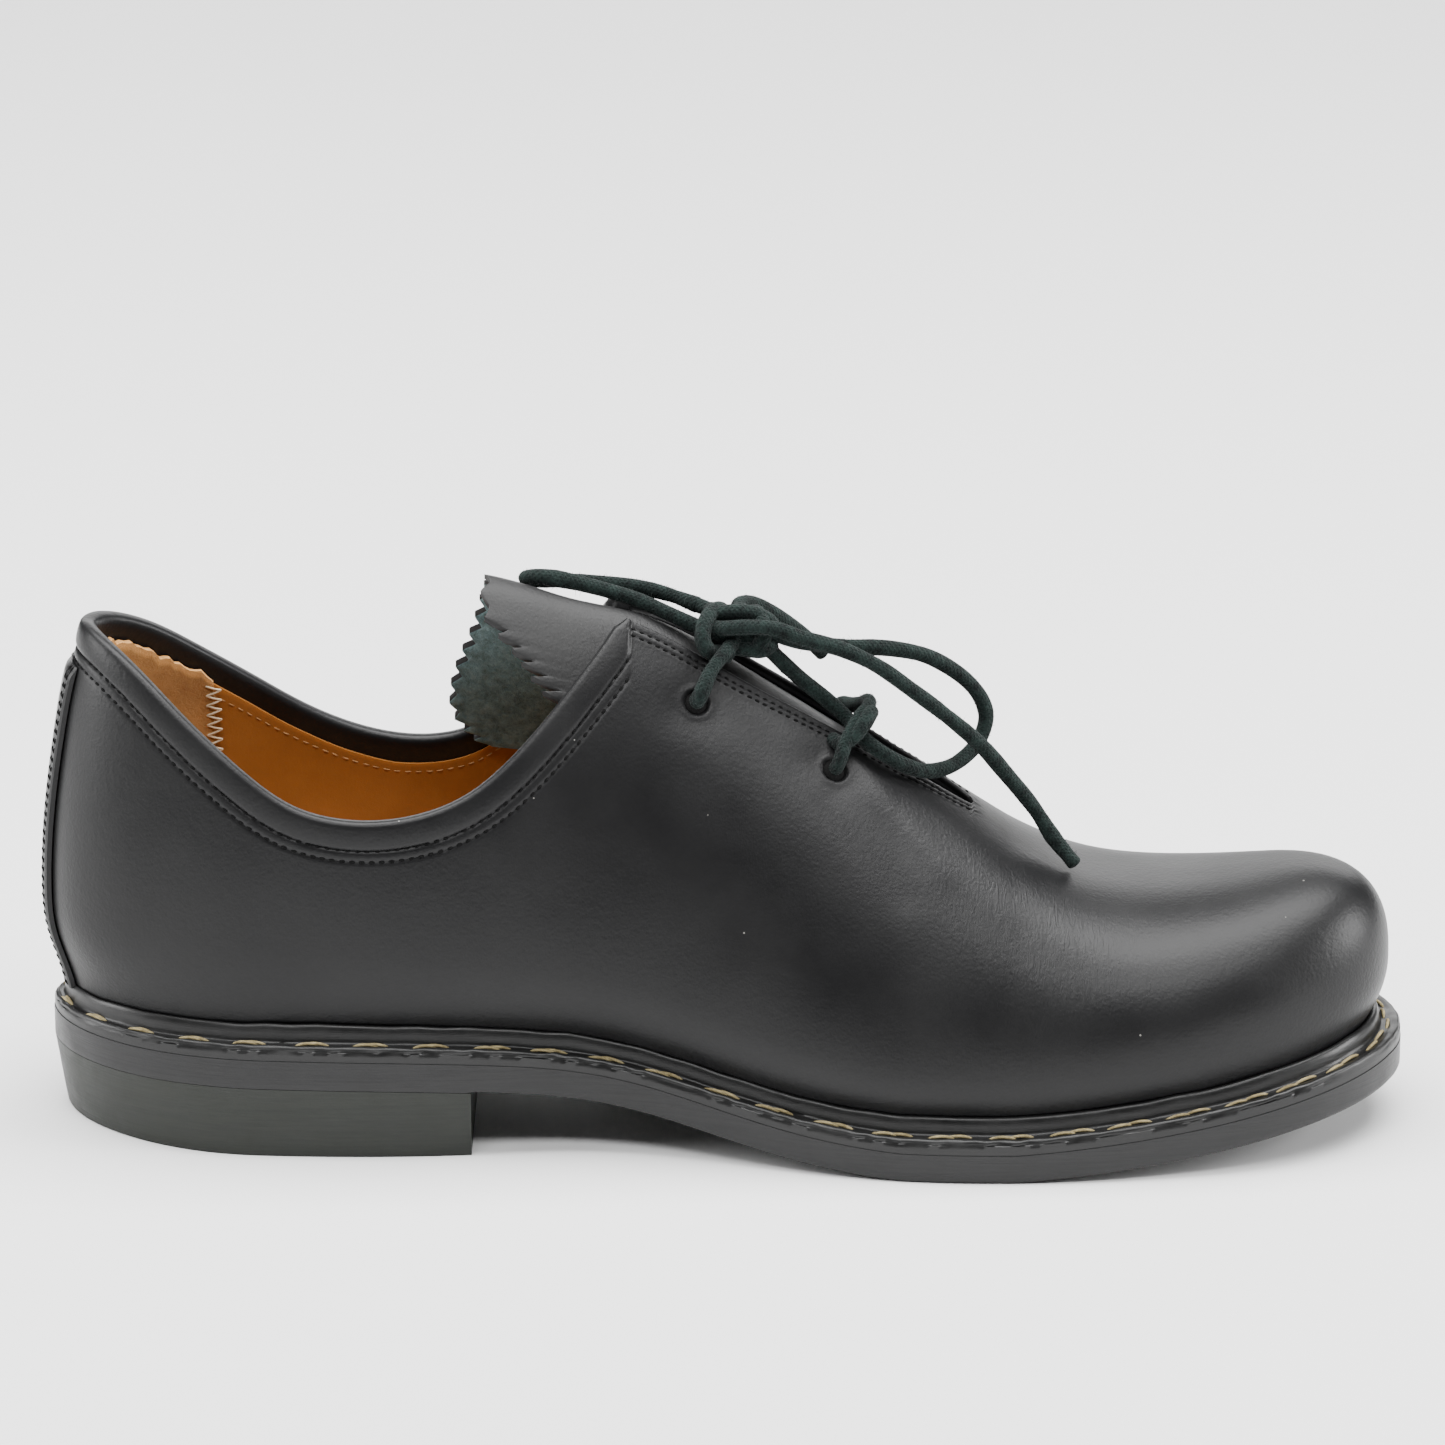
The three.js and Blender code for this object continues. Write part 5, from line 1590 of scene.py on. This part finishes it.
def make_sole():
    def bevel(x):
        return np.where(x < HEEL_BREAST * LAST_LENGTH, 0.05, 0.9)

    loops = slab(sole_edge, sole_top, sole_bottom, half_ring(1.3), 0.02, bevel)
    make_slab("sole", loops, SOLE_FINISH, "sole_rubber", "outsole", 40)


def make_heel():
    """The heel block, closed at its straight front by a fan of faces."""
    x, angle = half_ring(1.3)
    breast = HEEL_BREAST * LAST_LENGTH
    keep = x < breast - 0.8
    x, angle = np.append(x[keep], breast), np.append(angle[keep], math.pi / 2)

    def outline(stations, inset):
        back = 0.4 + 0.6 * np.abs(np.cos(stations.angle))
        return footprint(stations, welt_width(stations) - inset * back)

    def half_bevel(x):
        return np.full(x.shape, 0.5)

    def top(x):
        return sole_bottom(x) - 0.01

    loops = slab(outline, top, np.zeros_like, (x, angle), 0.08, half_bevel, HEEL_BLOCK_TAPER)
    faces = grid_faces(*loops.shape[:2], False, True)
    points = loops.reshape(-1, 3)
    count = loops.shape[1]
    ring = len(points) - count + np.arange(count)
    fan = np.stack([ring, np.roll(ring, -1), np.full(count, len(points))], -1)
    points = np.vstack([points, loops[-1].mean(0)])
    make_piece(
        "heel_stack", points, np.array(faces.tolist() + fan.tolist(), dtype=object), HEEL_FINISH,
        "heel_rubber", ("heel_block",), sharp=40, worn=np.zeros(len(points)))


make_sole()
make_heel()


def make_insole():
    inset = UPPER_THICKNESS + FIT_GAP + LINING_THICKNESS

    def outline(stations, extra):
        elevation = rim_elevation(stations, inset, RIB_HEIGHT)
        return surface(stations, elevation, inset)

    def base(x):
        return sole_top(x) + FIT_GAP

    def top(x):
        return sole_top(x) + (FIT_GAP + INSOLE_THICKNESS)

    def bevel(x):
        return np.full(x.shape, 0.1)

    loops = slab(outline, top, base, half_ring(2.5), 0.3, bevel)
    make_slab("footbed", loops, INSOLE_LEATHER, "insole_leather", "insole", 50)


make_insole()


# Back strip
def make_back_strip():
    half_angle = STRIP_WIDTH / 2 / (HEEL_PIVOT * LAST_LENGTH)
    turn = np.linspace(half_angle, -half_angle, STRIP_COLUMNS)
    x = np.full(STRIP_COLUMNS, HEEL_PIVOT * LAST_LENGTH)
    ring = Stations(x, math.pi - np.abs(turn), np.where(turn > 0, -1.0, 1.0))
    band = COLLAR_ROWS[1] + 0.6
    back, front = (
        wall_rows(ring, inset, RIB_HEIGHT + FIT_GAP, band, STRIP_ROWS)
        for inset in (-FIT_GAP, -FIT_GAP - STRIP_THICKNESS))
    place = np.arange(STRIP_COLUMNS)
    edge = np.minimum(place, place[::-1]) * STRIP_WIDTH / (STRIP_COLUMNS - 1)
    soft = np.exp(-((edge / 0.5) ** 2))
    seams = sum(np.exp(-(((edge - at) / 0.35) ** 2)) for at in (1.5, 3.0))
    outwards = unit(front - back)
    front = front - outwards * (0.35 * soft + 0.16 * seams)[:, None, None]
    rise = np.linspace(0, 1, STRIP_ROWS)
    front = front - outwards * (0.9 * smooth(0.965, 1.0, rise))[None, :, None]
    points, faces = sheet(front, back)
    blank = np.zeros(len(points))
    make_piece(
        "back_seam_strip", points, faces, STRIP_LEATHER, "upper_leather", ("back_strip",), sharp=55,
        wrinkled=blank, worn=blank)
    parts = []
    for k, seed in ((5, 1), (10, 2), (50, 3), (55, 4)):
        parts.append(stitch_meshes(front[k], outwards[k], 2.1, 1.5, 0.5, 0.05, seed=seed))
    make_piece("back_strip_stitches", *join(parts), BLACK_THREAD_AND_SHADE, "upper_leather")


make_back_strip()


# Tongue
def tongue_grid(inset, across):
    """Rows of the tongue from its pinked end to under the vamp, at these places across it."""
    end = TONGUE_END(across) * LAST_LENGTH
    step = np.hypot(np.diff(end), np.diff(across) * TONGUE_HALF_WIDTH)
    tooth = np.abs((np.concatenate([[0], np.cumsum(step)]) / TONGUE_TOOTH_PITCH) % 1 - 0.5) * 2
    slant = np.hypot(1, np.gradient(end, across) / TONGUE_HALF_WIDTH)
    back = end + TONGUE_TOOTH_DEPTH * (1 - tooth) * slant
    front = TONGUE_FRONT * LAST_LENGTH - 14 * across**2
    share = np.linspace(0, 1, TONGUE_ROWS) ** 1.5
    x = back[:, None] + (front - back)[:, None] * share
    spread = TONGUE_SPREAD_BACK + (TONGUE_SPREAD_FRONT - TONGUE_SPREAD_BACK) * share ** (1 / 1.2)
    sign = np.where(across < 0, -1.0, 1.0)[:, None]
    stations = Stations(x, np.full(x.shape, math.pi / 2), np.broadcast_to(sign, x.shape))
    points = surface(stations, math.pi / 2 - np.abs(across)[:, None] * spread[None], inset)
    points[..., 2] += TONGUE_LIFT(along(points[..., 0]))
    return points


def make_tongue():
    """Black grain outside and grey-green suede inside, thinned towards the pinked end."""
    across = np.linspace(-1, 1, TONGUE_COLUMNS)
    inset = UPPER_THICKNESS + TONGUE_CLEARANCE
    outer = tongue_grid(inset, across)
    inner = tongue_grid(inset + TONGUE_THICKNESS, across)
    near_end = np.exp(-np.arange(TONGUE_ROWS) / 9.0)
    thinning = (outer - inner) * (0.22 * near_end)[None, :, None]
    outer, inner = outer - thinning, inner + thinning
    points, faces = sheet(outer, inner)
    spot = np.linalg.norm(outer - np.array((129, -14, 106)), axis=-1)
    wrinkled = 0.15 + 0.85 * np.exp(-((spot / 17) ** 2))
    wrinkled = np.concatenate([wrinkled.ravel(), np.zeros(wrinkled.size)])
    tongue = make_piece(
        "tongue_leather", points, faces, TONGUE_LEATHER, "tongue_leather", ("tongue",), sharp=50,
        wrinkled=wrinkled, worn=np.zeros(len(points)))
    tongue.data.materials.append(TONGUE_SUEDE)
    grain_faces = (TONGUE_COLUMNS - 1) * (TONGUE_ROWS - 1)
    for face in tongue.data.polygons:
        face.material_index = int(grain_faces <= face.index < 2 * grain_faces)


make_tongue()


# Floor and light, in metres
FLOOR_REACH = 6.0


def make_stage():
    material, tree, shader = new_material("pale_floor", Roughness=0.95, Specular_IOR_Level=0.05)
    colour = noise(tree, object_place(tree), 3.0, 2.0)
    tree.links.new(mix(tree, colour, (0.78, 0.78, 0.78), (0.8, 0.8, 0.8)), shader.inputs["Base Color"])
    mesh = bpy.data.meshes.new("pale_floor")
    corners = [(x * FLOOR_REACH, y * FLOOR_REACH, 0) for x, y in ((-1, -1), (1, -1), (1, 1), (-1, 1))]
    mesh.from_pydata(corners, [], [(0, 1, 2, 3)])
    mesh.materials.append(material)
    floor = bpy.data.objects.new("pale_floor", mesh)
    bpy.context.scene.collection.objects.link(floor)


def softbox(name, place, target, width, height, radiance):
    """A soft, even light panel. Its power follows from the brightness of its face."""
    data = bpy.data.lights.new(name, "AREA")
    data.shape = "RECTANGLE"
    data.size, data.size_y = width, height
    data.energy = radiance * math.pi * width * height
    light = bpy.data.objects.new(name, data)
    light.location = place
    way = Vector(target) - Vector(place)
    light.rotation_euler = way.to_track_quat("-Z", "Y").to_euler()
    bpy.context.scene.collection.objects.link(light)


def make_light():
    softbox("top_softbox", (0, 0.15, 1.5), (0, 0.1, 0), 2.0, 0.9, 15.0)
    softbox("front_softbox", (0, -0.8, 1.35), (0, 0, 0.05), 1.4, 0.35, 13.0)
    softbox("left_softbox", (-1.7, -0.1, 0.6), (0, 0, 0.05), 0.7, 0.9, 14.0)
    softbox("right_softbox", (1.7, -0.1, 0.6), (0, 0, 0.05), 0.7, 0.9, 19.0)
    softbox("back_softbox", (0, 1.9, 0.7), (0, 0, 0.05), 2.2, 0.8, 4.0)
    world = bpy.data.worlds.new("studio")
    world.use_nodes = True
    background = world.node_tree.nodes["Background"]
    background.inputs["Color"].default_value = (1, 1, 1, 1)
    background.inputs["Strength"].default_value = 0.1
    bpy.context.scene.world = world


make_stage()
make_light()
